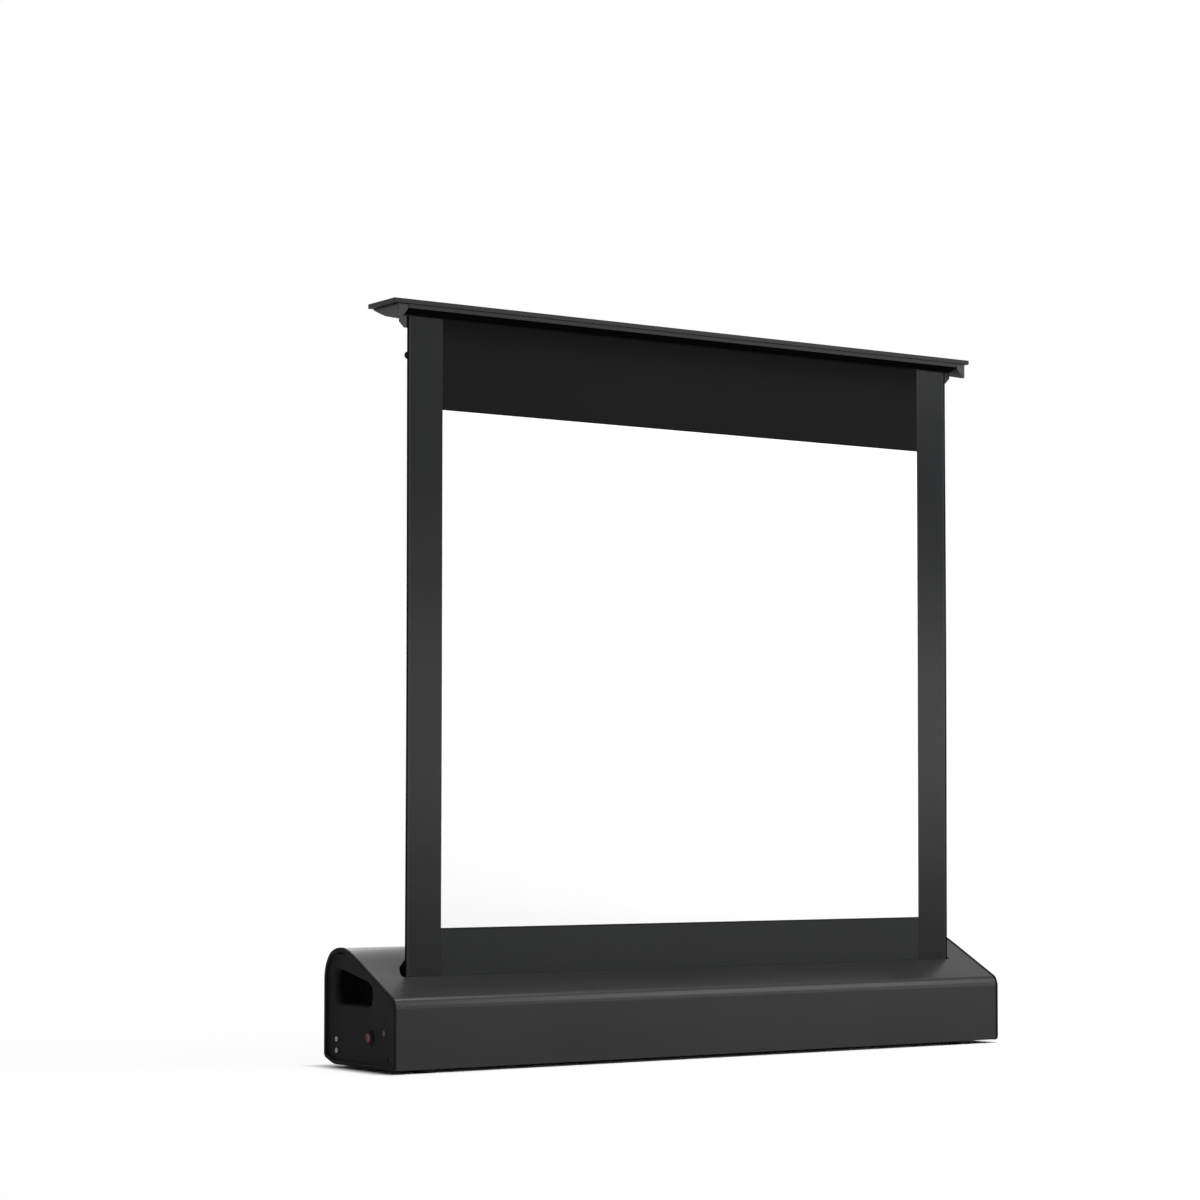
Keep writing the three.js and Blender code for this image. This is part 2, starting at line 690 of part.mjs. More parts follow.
// An arm from one pivot to another, with a hole at each end and one in the middle
function arm(fromX, fromZ, toX, toZ, fromY) {
  const half = armWidth / 2 - armBevel;
  const pitch = Math.hypot(toX - fromX, toZ - fromZ);
  const shape = new THREE.Shape();
  shape.absarc(0, 0, half, Math.PI / 2, Math.PI * 1.5);
  shape.absarc(pitch, 0, half, -Math.PI / 2, Math.PI / 2);
  [0, pitch / 2, pitch].forEach((place) => {
    const hole = new THREE.Path();
    hole.absarc(place, 0, pinRadius + seam + armBevel, 0, Math.PI * 2, true);
    shape.holes.push(hole);
  });
  const geometry = new THREE.ExtrudeGeometry(shape, {
    depth: armThickness - 2 * armBevel, bevelSize: armBevel, bevelThickness: armBevel,
    bevelSegments: 1, curveSegments: armCurveSteps,
  });
  const angle = Math.atan2(toZ - fromZ, toX - fromX);
  return geometry.rotateX(Math.PI / 2).translate(0, armThickness - armBevel, 0)
    .rotateY(-angle).translate(fromX, fromY, fromZ);
}
addPiece('arm_lower_back', arm(pivotX, basePivotHeight, elbowX, elbowZ, armBackY), 'blackArm');
addPiece('arm_lower_front', arm(elbowX, basePivotHeight, pivotX, elbowZ, armFrontY), 'blackArm');
addPiece('arm_upper_back', arm(pivotX, elbowZ, elbowX, topPivotHeight, armBackY), 'blackArm');
addPiece('arm_upper_front', arm(elbowX, elbowZ, pivotX, topPivotHeight, armFrontY), 'blackArm');

// Pins that join a front arm to a back arm: two heads and a spacing collar between the arms
function crossPin(x, z) {
  const front = armFrontY - seam;
  const back = armBackEndY + seam;
  const collarFront = armFrontY + armThickness + seam;
  const collarBack = armBackY - seam;
  return turnedAlongY([[0, front - pinHeadThickness], [pinHeadRadius, front - pinHeadThickness],
    [pinHeadRadius, front], [pinRadius, front], [pinRadius, collarFront], [pinHeadRadius, collarFront],
    [pinHeadRadius, collarBack], [pinRadius, collarBack], [pinRadius, back], [pinHeadRadius, back],
    [pinHeadRadius, back + pinHeadThickness], [0, back + pinHeadThickness]], x, z);
}
addPiece('pin_lower_cross', crossPin(0, (basePivotHeight + elbowZ) / 2), 'steel');
addPiece('pin_upper_cross', crossPin(0, (elbowZ + topPivotHeight) / 2), 'steel');
addPiece('pin_elbow_left', crossPin(pivotX, elbowZ), 'steel');
addPiece('pin_elbow_right', crossPin(elbowX, elbowZ), 'steel');

// A pin with one head between the two layers of arms, and its shank running to a given end
function headedPin(x, z, headFromY, headToY, endY) {
  const runsBack = endY > headToY;
  const profile = runsBack
    ? [[0, headFromY], [pinHeadRadius, headFromY], [pinHeadRadius, headToY], [pinRadius, headToY],
      [pinRadius, endY], [0, endY]]
    : [[0, endY], [pinRadius, endY], [pinRadius, headFromY], [pinHeadRadius, headFromY],
      [pinHeadRadius, headToY], [0, headToY]];
  return turnedAlongY(profile, x, z);
}
const innerHeadFront = armFrontY + armThickness + seam;
const innerHeadBack = armBackY - seam;

// Base pivot: a bracket behind the back arm, the pin and the nut that sets its friction
const baseBracketY = armBackEndY + blockFromArm + seam;
const pinBackEnd = baseBracketY + bracketThickness + seam + frictionNutThickness;
function baseBracket() {
  const top = basePivotHeight + bracketReach;
  const back = baseBracketY + bracketThickness;
  const section = [[baseBracketY, platformZ], [back + bracketFoot, platformZ],
    [back + bracketFoot, platformZ + bracketThickness], [back, platformZ + bracketThickness],
    [back, top], [baseBracketY, top]];
  const plate = alongX(section, pivotX - bracketWidth / 2, pivotX + bracketWidth / 2);
  return cut(plate, turnedAlongY(rodProfile(pinRadius + seam, baseBracketY - overrun, back + overrun),
    pivotX, basePivotHeight));
}
addPiece('base_pivot_bracket', baseBracket(), 'steel');
addPiece('base_pivot_pin',
  headedPin(pivotX, basePivotHeight, innerHeadFront, innerHeadBack, pinBackEnd), 'steel');
const nutStart = baseBracketY + bracketThickness + seam;
addPiece('friction_nut', cut(
  turnedAlongY(rodProfile(frictionNutRadius, nutStart, pinBackEnd), pivotX, basePivotHeight, nutFaces),
  turnedAlongY(rodProfile(pinRadius + seam, nutStart - overrun, pinBackEnd + overrun),
    pivotX, basePivotHeight)), 'silver');

// Top pivot: a bracket in front of the front arm, and its pin
const topBracketY = armFrontY - blockFromArm - seam - bracketThickness;
function topBracket() {
  const top = barBottomZ - seam;
  const bottom = topPivotHeight - bracketReach;
  const back = topBracketY + bracketThickness;
  const foot = back + armThickness;
  const section = [[topBracketY, bottom], [back, bottom], [back, top - bracketThickness],
    [foot, top - bracketThickness], [foot, top], [topBracketY, top]];
  const plate = alongX(section, pivotX - bracketWidth / 2, pivotX + bracketWidth / 2);
  return cut(plate, turnedAlongY(rodProfile(pinRadius + seam, topBracketY - overrun, back + overrun),
    pivotX, topPivotHeight));
}
addPiece('top_pivot_bracket', topBracket(), 'steel');
addPiece('top_pivot_pin',
  headedPin(pivotX, topPivotHeight, innerHeadFront, innerHeadBack, topBracketY - seam), 'steel');

// Base rail: a channel on a foot, open towards the front arms
const blockFrontY = armFrontY - blockFromArm - blockDepth;
const baseRailY = blockFrontY - seam - railWall;
function railLips(webY, lipY, centreZ) {
  const inside = railInside / 2;
  const outside = inside + railWall;
  return [[lipY, centreZ + outside], [lipY, centreZ + inside], [webY, centreZ + inside],
    [webY, centreZ - inside], [lipY, centreZ - inside], [lipY, centreZ - outside]];
}

function baseRail() {
  const web = baseRailY + railWall;
  const lip = baseRailY + railDepth;
  const section = [[baseRailY, basePivotHeight + railInside / 2 + railWall],
    ...railLips(web, lip, basePivotHeight), [web, basePivotHeight - railInside / 2 - railWall],
    [web, platformZ + railWall], [lip, platformZ + railWall], [lip, platformZ], [baseRailY, platformZ]];
  return alongX(section.reverse(), elbowX - baseRailBeforePivot, capBackX - baseRailEndGap);
}
addPiece('base_rail', baseRail(), 'steel');

// Top rail: the same channel hung under the top plate, open towards the back arms
const blockBackY = armBackEndY + blockFromArm + blockDepth;
const topRailY = blockBackY + seam + railWall;
function topRail() {
  const web = topRailY - railWall;
  const lip = topRailY - railDepth;
  const section = [[topRailY, barTopZ], [lip, barTopZ], [lip, barTopZ - railWall],
    [web, barTopZ - railWall], [web, topPivotHeight + railInside / 2 + railWall],
    ...railLips(web, lip, topPivotHeight), [topRailY, topPivotHeight - railInside / 2 - railWall]];
  return alongX(section, topRailEndGap - barEndInnerX, barEndInnerX - topRailEndGap);
}
addPiece('top_rail', topRail(), 'steel');

// Slide blocks that run in the rails, and the pins that carry the arms on them
function slideBlock(x, z, fromY, toY) {
  const half = railInside / 2 - seam;
  const body = block(x - blockLength / 2, x + blockLength / 2, fromY, toY, z - half, z + half);
  return cut(body, turnedAlongY(rodProfile(pinRadius + seam, fromY - overrun, toY + overrun), x, z));
}
addPiece('base_slide_block',
  slideBlock(elbowX, basePivotHeight, blockFrontY, blockFrontY + blockDepth), 'nylon');
addPiece('top_slide_block',
  slideBlock(elbowX, topPivotHeight, blockBackY - blockDepth, blockBackY), 'nylon');
addPiece('pin_base_slide',
  headedPin(elbowX, basePivotHeight, innerHeadFront, innerHeadBack, blockFrontY + seam), 'steel');
addPiece('pin_top_slide',
  headedPin(elbowX, topPivotHeight, innerHeadFront, innerHeadBack, blockBackY - seam), 'steel');

export default group;
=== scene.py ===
# Pull up projection screen with its screen raised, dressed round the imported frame. Metres. X runs
# along the screen, the picture faces -Y, Z is up, the origin is on the ground under the casing's middle.
import math

import bmesh
import bpy
from mathutils import Matrix, Vector


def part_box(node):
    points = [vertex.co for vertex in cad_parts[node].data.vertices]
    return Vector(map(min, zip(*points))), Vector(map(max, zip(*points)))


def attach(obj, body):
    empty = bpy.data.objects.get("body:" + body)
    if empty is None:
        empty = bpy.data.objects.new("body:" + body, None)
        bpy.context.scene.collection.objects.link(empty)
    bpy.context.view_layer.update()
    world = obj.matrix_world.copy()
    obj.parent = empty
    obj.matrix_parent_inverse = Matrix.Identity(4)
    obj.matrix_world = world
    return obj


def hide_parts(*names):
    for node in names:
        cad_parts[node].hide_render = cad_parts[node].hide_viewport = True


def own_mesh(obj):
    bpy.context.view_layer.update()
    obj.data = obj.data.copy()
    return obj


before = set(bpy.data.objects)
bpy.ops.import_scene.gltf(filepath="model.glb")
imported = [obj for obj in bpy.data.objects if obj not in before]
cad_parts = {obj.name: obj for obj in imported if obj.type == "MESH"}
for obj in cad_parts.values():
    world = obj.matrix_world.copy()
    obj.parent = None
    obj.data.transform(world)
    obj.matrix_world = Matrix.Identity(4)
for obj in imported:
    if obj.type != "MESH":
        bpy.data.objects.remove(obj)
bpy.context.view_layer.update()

# Camera: a long lens, well to the left of the screen, level with its lower third and tilted up a
# little. The picture is shifted so that the whole height fits, as a view camera would do it.
picture_pixels = 1200
focal_pixels = 3107
horizon_pixels = 819.6
axis_pixels = 670
sensor_width = 36
camera_turn = math.radians(35)
camera_rise = math.radians(2.5)
camera_place = (-2.995, -4.255, 0.390)

lens = bpy.data.cameras.new("camera")
lens.sensor_width = sensor_width
lens.lens = focal_pixels / picture_pixels * sensor_width
lens.shift_x = 0.5 - axis_pixels / picture_pixels
lens.shift_y = (horizon_pixels - focal_pixels * math.tan(camera_rise)) / picture_pixels - 0.5
camera = bpy.data.objects.new("camera", lens)
camera.location = camera_place
camera.rotation_euler = (math.radians(90) + camera_rise, 0, -camera_turn)
bpy.context.scene.collection.objects.link(camera)
bpy.context.scene.camera = camera
bpy.context.scene.view_settings.view_transform = "Standard"


# Studio: a white floor that fades into white surroundings, a soft box high on the right, one overhead,
# a large one behind, a weak one on the left, and a long low one for the gleam on the cloth's side strips.
# The floor glows white of itself, painted light that washes its shadows out, except in a narrow band
# round the casing, where it is plain matt and keeps a dark line where the casing stands on it.
class Value:
    """A socket in a node tree. Arithmetic on it adds Math nodes."""

    def __init__(self, nodes, socket):
        self.nodes = nodes
        self.socket = socket

    def maths(self, operation, *values):
        return self.nodes.node("Math", {"operation": operation}, dict(enumerate(values)))

    def __add__(self, other):
        return self.maths("ADD", self, other)

    __radd__ = __add__

    def __mul__(self, other):
        return self.maths("MULTIPLY", self, other)

    __rmul__ = __mul__

    def __sub__(self, other):
        return self.maths("SUBTRACT", self, other)

    def __rsub__(self, other):
        return self.maths("SUBTRACT", other, self)

    def __gt__(self, other):
        return self.maths("GREATER_THAN", self, other)

    def __lt__(self, other):
        return self.maths("LESS_THAN", self, other)

    def __abs__(self):
        return self.maths("ABSOLUTE", self)

    def at_least(self, other):
        return self.maths("MAXIMUM", self, other)

    def sine(self):
        return self.maths("SINE", self)


class Nodes:
    """A node tree, built one node at a time."""

    def __init__(self, tree):
        self.tree = tree

    def node(self, kind, settings=None, inputs=None, output=0):
        made = self.tree.nodes.new("ShaderNode" + kind)
        settings = dict(settings or {})
        stops = settings.pop("stops", None)
        for name, value in settings.items():
            setattr(made, name, value)
        if stops:
            ramp = made.color_ramp
            while len(ramp.elements) < len(stops):
                ramp.elements.new(1)
            for element, (place, shade) in zip(ramp.elements, stops):
                element.position = place
                element.color = (shade, shade, shade, 1)
        for key, value in (inputs or {}).items():
            self.join(value, made.inputs[key])
        return Value(self, made.outputs[output])

    def join(self, value, socket):
        if isinstance(value, Value):
            self.tree.links.new(value.socket, socket)
        else:
            socket.default_value = value

    def mix(self, share, first, second):
        inputs = {0: share, 6: first, 7: second}
        return self.node("Mix", {"data_type": "RGBA"}, inputs, output=2)

    def ramp(self, value, *stops):
        return self.node("ValToRGB", {"stops": stops}, {"Fac": value})

    def noise(self, place, scale, detail=2, roughness=0.5, stretch=(1, 1, 1)):
        if stretch != (1, 1, 1):
            place = self.node("Mapping", {}, {"Vector": place, "Scale": stretch})
        inputs = {"Vector": place, "Scale": scale, "Detail": detail, "Roughness": roughness}
        return self.node("TexNoise", {}, inputs)

    def place(self):
        return self.node("TexCoord", {}, {}, output=3)

    def axes(self):
        place = self.place()
        return [self.node("SeparateXYZ", {}, {"Vector": place}, output=i) for i in range(3)]


def grey(level, blue=0):
    return (level, level * (1 + blue / 2), level * (1 + blue), 1)


world = bpy.data.worlds.new("studio")
world.use_nodes = True
bpy.context.scene.world = world
sky = Nodes(world.node_tree)
ray_kinds = [sky.node("LightPath", {}, {}, output=kind) for kind in
             ("Is Camera Ray", "Is Glossy Ray", "Is Transmission Ray")]
seen = ray_kinds[0] + ray_kinds[1] + ray_kinds[2]
ambient = grey(0.20)
sky.join(sky.mix(seen, ambient, grey(1)), world.node_tree.nodes["Background"].inputs["Color"])

floor_reach = 14
floor_white = grey(0.93)
casing_shadow = (0.600, 0.104)
shadow_reach = 0.05
near_glow = 0.93
fade_from = 0.9
fade_over = 1.6
floor_mesh = bpy.data.meshes.new("studio_floor")
floor_mesh.from_pydata([(x * floor_reach, y * floor_reach, 0) for x, y in
                        ((-1, -1), (1, -1), (1, 1), (-1, 1))], [], [(0, 1, 2, 3)])
floor = bpy.data.objects.new("studio_floor", floor_mesh)
bpy.context.scene.collection.objects.link(floor)
floor_paint = bpy.data.materials.new("studio_floor")
floor_paint.use_nodes = True
paint = Nodes(floor_paint.node_tree)
matt = floor_paint.node_tree.nodes["Principled BSDF"]
matt.inputs["Base Color"].default_value = floor_white
matt.inputs["Roughness"].default_value = 0.9
matt.inputs["Specular IOR Level"].default_value = 0.1
distance = paint.node("VectorMath", {"operation": "LENGTH"}, {0: paint.place()}, output=1)
along, across, _ = paint.axes()
from_casing = (abs(along) - casing_shadow[0]).at_least(abs(across) - casing_shadow[1])
# Painted light: beyond a narrow band round the casing the floor glows white, which washes out the shadows on
# it.
close_by = paint.node("MapRange", {"interpolation_type": "SMOOTHERSTEP"},
                      {"Value": from_casing, "From Max": shadow_reach, "To Max": near_glow})
far_off = paint.node("MapRange", {"interpolation_type": "SMOOTHSTEP"},
                     {"Value": distance, "From Min": fade_from, "From Max": fade_from + fade_over})
fade = close_by.at_least(far_off)
glow = paint.node("Emission", {}, {"Color": grey(1), "Strength": 1})
blend = paint.node("MixShader", {}, {0: fade, 1: Value(paint, matt.outputs[0]), 2: glow})
paint.join(blend, floor_paint.node_tree.nodes["Material Output"].inputs["Surface"])
floor_mesh.materials.append(floor_paint)


def soft_box(name, place, aim, width, height, power):
    lamp = bpy.data.lights.new(name, "AREA")
    lamp.shape = "RECTANGLE"
    lamp.size = width
    lamp.size_y = height
    lamp.energy = power
    box = bpy.data.objects.new(name, lamp)
    box.location = place
    box.rotation_euler = (Vector(aim) - Vector(place)).to_track_quat("-Z", "Y").to_euler()
    bpy.context.scene.collection.objects.link(box)


screen_middle = (0, 0, 0.6)
soft_box("soft_box_front", (2.6, -2.8, 2.45), screen_middle, 2.0, 1.1, 52)
soft_box("soft_box_left", (-3.2, -1.4, 2.2), screen_middle, 1.8, 1.8, 9)
soft_box("soft_box_back", (0.6, 3.4, 3.0), screen_middle, 2.4, 2.4, 80)
soft_box("soft_box_low", (2.1, -3.0, 0.65), (0, 0, 0.5), 2.8, 0.6, 21)
soft_box("soft_box_top", (0.3, -0.9, 3.0), (0, -0.05, 0.1), 1.8, 1.0, 76)


# Casing: one moulded black shell, 2 mm thick, with a long opening let into its sloping top. The front
# wall stands upright, the top climbs to a rounded ridge at the back. Satin, with a fine moulded grain.
class Finish(Nodes):
    """A material with one Principled shader; keyword values are the same all over."""

    def __init__(self, name, **uniform):
        self.material = bpy.data.materials.new(name)
        self.material.use_nodes = True
        super().__init__(self.material.node_tree)
        self.shader = self.tree.nodes["Principled BSDF"]
        for socket, value in uniform.items():
            self.shader.inputs[socket.replace("_", " ")].default_value = value

    def set(self, socket, value):
        self.join(value, self.shader.inputs[socket])

    def bump(self, height, depth, strength=1):
        inputs = {"Height": height, "Distance": depth, "Strength": strength}
        self.set("Normal", self.node("Bump", {}, inputs))


def rounded(points, reach, steps, closed=False):
    """A line of points with each corner turned into a curve; reach is its size, one or one a corner."""
    count = len(points)
    corners = range(count) if closed else range(1, count - 1)
    line = [] if closed else [Vector(points[0])]
    for i in corners:
        corner = Vector(points[i])
        before = Vector(points[i - 1]) - corner
        after = Vector(points[(i + 1) % count]) - corner
        size = reach[i] if isinstance(reach, list) else reach
        first = corner + before.normalized() * min(size, before.length / 2)
        last = corner + after.normalized() * min(size, after.length / 2)
        for step in range(steps + 1):
            t = step / steps
            line.append(first * (1 - t) ** 2 + corner * 2 * t * (1 - t) + last * t ** 2)
    return line if closed else line + [Vector(points[-1])]


def moved_in(line, distance, closed=False):
    """The line moved sideways, to the right of its run, with its corners kept sharp."""
    count = len(line)
    runs = [(line[(i + 1) % count] - line[i]).normalized() for i in range(count)]
    result = []
    for i, point in enumerate(line):
        first = runs[i - 1] if closed or i else runs[0]
        second = runs[i] if closed or i < count - 1 else runs[i - 1]
        sides = [Vector((run.y, -run.x)) for run in (first, second)]
        result.append(point + (sides[0] + sides[1]) * distance / (1 + sides[0].dot(sides[1])))
    return result


def piece(name, verts, faces, finish, body, replaced=(), sharp=35):
    """A new object from vertices and faces, with its finish, body and the nodes it stands for."""
    mesh = bpy.data.meshes.new(name)
    mesh.from_pydata([tuple(v) for v in verts], [], faces)
    work = bmesh.new()
    work.from_mesh(mesh)
    loose = [v for v in work.verts if not v.link_faces]
    bmesh.ops.delete(work, geom=loose, context="VERTS")
    bmesh.ops.recalc_face_normals(work, faces=work.faces)
    work.to_mesh(mesh)
    work.free()
    return dress(name, mesh, finish, body, replaced, sharp)


def dress(name, mesh, finish, body, replaced=(), sharp=35):
    mesh.polygons.foreach_set("use_smooth", [True] * len(mesh.polygons))
    mesh.set_sharp_from_angle(angle=math.radians(sharp))
    mesh.materials.clear()
    mesh.materials.append(finish.material)
    made = bpy.data.objects.new(name, mesh)
    bpy.context.scene.collection.objects.link(made)
    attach(made, body)
    if replaced:
        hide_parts(*replaced)
    return made


def soften(made, width, segments=3, angle=35):
    """Rounds every edge sharper than the angle, as moulding and deburring do."""
    bevel = made.modifiers.new("soft_edges", "BEVEL")
    bevel.width = width
    bevel.segments = segments
    bevel.limit_method = "ANGLE"
    bevel.angle_limit = math.radians(angle)
    bevel.harden_normals = True
    bevel.use_clamp_overlap = True
    return made


def height_on(line, y):
    """Height of a line of (Y, Z) points, read where it first passes a given Y."""
    for before, after in zip(line, line[1:]):
        if before.x < y <= after.x:
            return before.y + (after.y - before.y) * (y - before.x) / (after.x - before.x)
    return line[-1].y


black_casing = Finish("casing_black", Specular_IOR_Level=0.2)
spot = black_casing.place()
grain = black_casing.noise(spot, 900, 3)
cloud = black_casing.noise(spot, 5, 3)
black_casing.set("Base Color", black_casing.mix(cloud, grey(0.0110, 0.02), grey(0.0150, 0.02)))
black_casing.set("Roughness", 0.25 + cloud * 0.08 + grain * 0.06)
black_casing.bump(grain, 0.00006, 0.6)

casing_front, casing_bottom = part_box("front_casing")[0].yz
casing_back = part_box("rear_casing")[1].y
casing_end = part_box("front_casing")[1].x
casing_top = 0.189
shell_wall = 0.002
section_shares = [
    (0, 0), (0, 0.53), (0.0226, 0.595), (0.674, 0.9836), (0.801, 1),
    (0.923, 0.951), (0.982, 0.842), (1, 0.754), (1, 0.054), (0.862, 0),
]
corner_reaches = [0.007] * len(section_shares)
corner_reaches[1:6] = [0.004, 0.005, 0.040, 0.016, 0.016]
corner_steps = 9
casing_corners = [Vector((casing_front + (casing_back - casing_front) * across,
                          casing_bottom + (casing_top - casing_bottom) * up))
                  for across, up in section_shares]
casing_line = rounded(casing_corners, corner_reaches, corner_steps)

opening_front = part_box("front_casing")[1].y
opening_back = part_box("rear_casing")[0].y
opening_half = 0.557
opening_back_half = 0.513
end_run, end_lean = 0.0265, 0.011
opening_round = 0.008
opening_steps = 6
end_columns = 4
middle_columns = 16
opening_edge = rounded([Vector((opening_front, 0)), Vector((opening_front, opening_half)),
                        Vector((opening_front + end_run, opening_half - end_lean)),
                        Vector((opening_back, opening_back_half)), Vector((opening_back, 0))],
                       opening_round, opening_steps)[1:-1]


def opening_reach(y):
    """Half the opening's length at a given Y, or where its corner starts before and beyond it."""
    return opening_edge[0].y if y <= opening_front else height_on(opening_edge, y)


def casing_shell():
    inner_line = moved_in(casing_line, shell_wall)
    near = shell_wall
    cuts = [point.x for point in opening_edge]
    cuts += [point.x for point in casing_line if point.y > casing_top / 2
             and min(abs(point.x - y) for y in cuts) > near / 2 and opening_front < point.x < opening_back]
    cuts.sort()
    rows = []
    for outer, inner in zip(casing_line, inner_line):
        on_top = outer.y > casing_bottom + (casing_top - casing_bottom) / 2
        if not (on_top and cuts[0] - near < outer.x < cuts[-1] + near):
            rows.append((outer, inner))
    after = next(i for i, row in enumerate(rows) if row[0].x > cuts[-1])
    rows[after:after] = [(Vector((y, height_on(casing_line, y))), Vector((y, height_on(inner_line, y))))
                         for y in cuts]
    verts, faces = [], []
    columns = 2 * end_columns + middle_columns + 1
    for layer in (0, 1):
        for row in rows:
            reach = opening_reach(row[0].x) if row[0].y > casing_top / 2 else opening_half
            xs = [casing_end + (reach - casing_end) * i / end_columns for i in range(end_columns)]
            xs += [reach - 2 * reach * i / middle_columns for i in range(middle_columns + 1)]
            xs += [-x for x in reversed(xs[:end_columns])]
            verts += [(x, row[layer].x, row[layer].y) for x in xs]
    first_cut = after
    last_cut = after + len(cuts) - 1
    layer_size = len(rows) * columns
    edges = {}
    for r in range(len(rows) - 1):
        for c in range(columns - 1):
            open_here = first_cut <= r < last_cut and end_columns <= c < end_columns + middle_columns
            if open_here:
                continue
            here, above = r * columns + c, (r + 1) * columns + c
            corners = [here, here + 1, above + 1, above]
            faces.append(corners)
            faces.append([layer_size + v for v in reversed(corners)])
            for a, b in zip(corners, corners[1:] + corners[:1]):
                edges[frozenset((a, b))] = None if frozenset((a, b)) in edges else (a, b)
    for edge in filter(None, edges.values()):
        a, b = edge
        faces.append([b, a, layer_size + a, layer_size + b])
    return piece("casing_shell", verts, faces, black_casing, "base",
                 ["front_casing", "rear_casing", "opening_end_left", "opening_end_right"])


shell_edge = 0.0005
soften(casing_shell(), shell_edge)


# Tray: folded sheet steel that closes the casing underneath, painted to match. Two screws through
# the foot of the front wall hold its upturned flange.
sheet_edge = 0.0004


def deburred(node, name, finish, body, width=sheet_edge, segments=2):
    """A pressed, cut or moulded part of the frame, with its edges broken as they are on the real one."""
    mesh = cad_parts[node].data.copy()
    work = bmesh.new()
    work.from_mesh(mesh)
    bmesh.ops.remove_doubles(work, verts=work.verts, dist=1e-6)
    bmesh.ops.dissolve_limit(work, angle_limit=math.radians(0.5), verts=work.verts, edges=work.edges)
    work.to_mesh(mesh)
    work.free()
    return soften(dress(name, mesh, finish, body, [node]), width, segments)


deburred("base_tray", "underside_tray", black_casing, "base")


# End caps: black mouldings that plug into the shell, with a rounded rim that covers its edge and is a
# millimetre proud of it. A sunk panel has the hand grip and the screws; the left one has the button.
class Moulding:
    """A mesh put together from loops of points: walls between loops, and flats inside them."""

    def __init__(self):
        self.work = bmesh.new()

    def loop(self, points):
        return [self.work.verts.new(point) for point in points]

    def wall(self, *loops):
        for first, second in zip(loops, loops[1:]):
            for i, corner in enumerate(first):
                j = (i + 1) % len(first)
                self.work.faces.new((corner, first[j], second[j], second[i]))

    def flat(self, *loops):
        edges = []
        for loop in loops:
            for a, b in zip(loop, loop[1:] + loop[:1]):
                edges.append(self.work.edges.get((a, b)) or self.work.edges.new((a, b)))
        bmesh.ops.triangle_fill(self.work, use_beauty=True, edges=edges)

    def done(self, name, finish, body, replaced=(), turn=None, sharp=35):
        mesh = bpy.data.meshes.new(name)
        if turn:
            self.work.transform(turn)
        bmesh.ops.recalc_face_normals(self.work, faces=self.work.faces)
        self.work.to_mesh(mesh)
        self.work.free()
        return dress(name, mesh, finish, body, replaced, sharp)


def curve(radius, first=0, last=90, steps=4):
    """Steps of a rounded edge: how far along and how far in, from 0 to the radius."""
    turns = [math.radians(first + (last - first) * i / steps) for i in range(steps + 1)]
    return [(radius * (1 - math.cos(turn)), radius * (1 - math.sin(turn))) for turn in turns]


def circle(centre_y, centre_z, radius, sides=48):
    turns = [2 * math.pi * i / sides for i in range(sides)]
    return [Vector((centre_y - radius * math.cos(turn), centre_z + radius * math.sin(turn)))
            for turn in turns]


def middle_of(node):
    low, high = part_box(node)
    return (low + high) / 2


black_cap = Finish("cap_black", Specular_IOR_Level=0.02)
spot = black_cap.place()
grain = black_cap.noise(spot, 1100, 3)
cloud = black_cap.noise(spot, 9, 3)
black_cap.set("Base Color", black_cap.mix(cloud, grey(0.0075), grey(0.0125)))
black_cap.set("Roughness", 0.42 + cloud * 0.08 + grain * 0.08)
black_cap.bump(grain, 0.00008, 0.7)

cap_face, cap_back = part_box("end_cap_left")[0].x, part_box("end_cap_left")[1].x
cap_proud = 0.001
rim_width = 0.006
rim_height = 0.004
rim_outer_round = 0.0016
rim_inner_round = 0.0008
panel_fillet = 0.001
plug_inset = 0.0023
panel_face = cap_face + rim_height
grip_round = 0.010
grip_lip = 0.007
grip_shares = [(0.362, 0.531), (0.338, 0.66), (0.394, 0.72), (0.845, 0.822), (0.868, 0.7), (0.82, 0.531)]
grip_corners = [Vector((casing_front + (casing_back - casing_front) * across, casing_top * up))
                for across, up in grip_shares]
button_seat = middle_of("release_button").yz
button_hole = 0.0079
plug_seat = middle_of("cap_plug_left").yz
plug_hole = 0.0048
dark_screw_seat = middle_of("cap_screw_left_front").yz
dark_screw_hole = 0.0043
seat_depth = 0.003
hole_chamfer = 0.0004


def cap_loops(mould, steps, side, corners, reach=None):
    """Loops of one outline at steps of (place along X from the cap's face, distance moved in)."""
    loops = []
    for along, inward in steps:
        line = moved_in(corners, inward, True)
        if reach:
            sizes = reach if isinstance(reach, list) else [reach] * len(corners)
            sizes = [max(size - inward / 2, size / 2) for size in sizes]
            line = rounded(line, sizes, corner_steps, closed=True)
        loops.append(mould.loop([(side * (cap_face + along), p.x, p.y) for p in line]))
    return loops


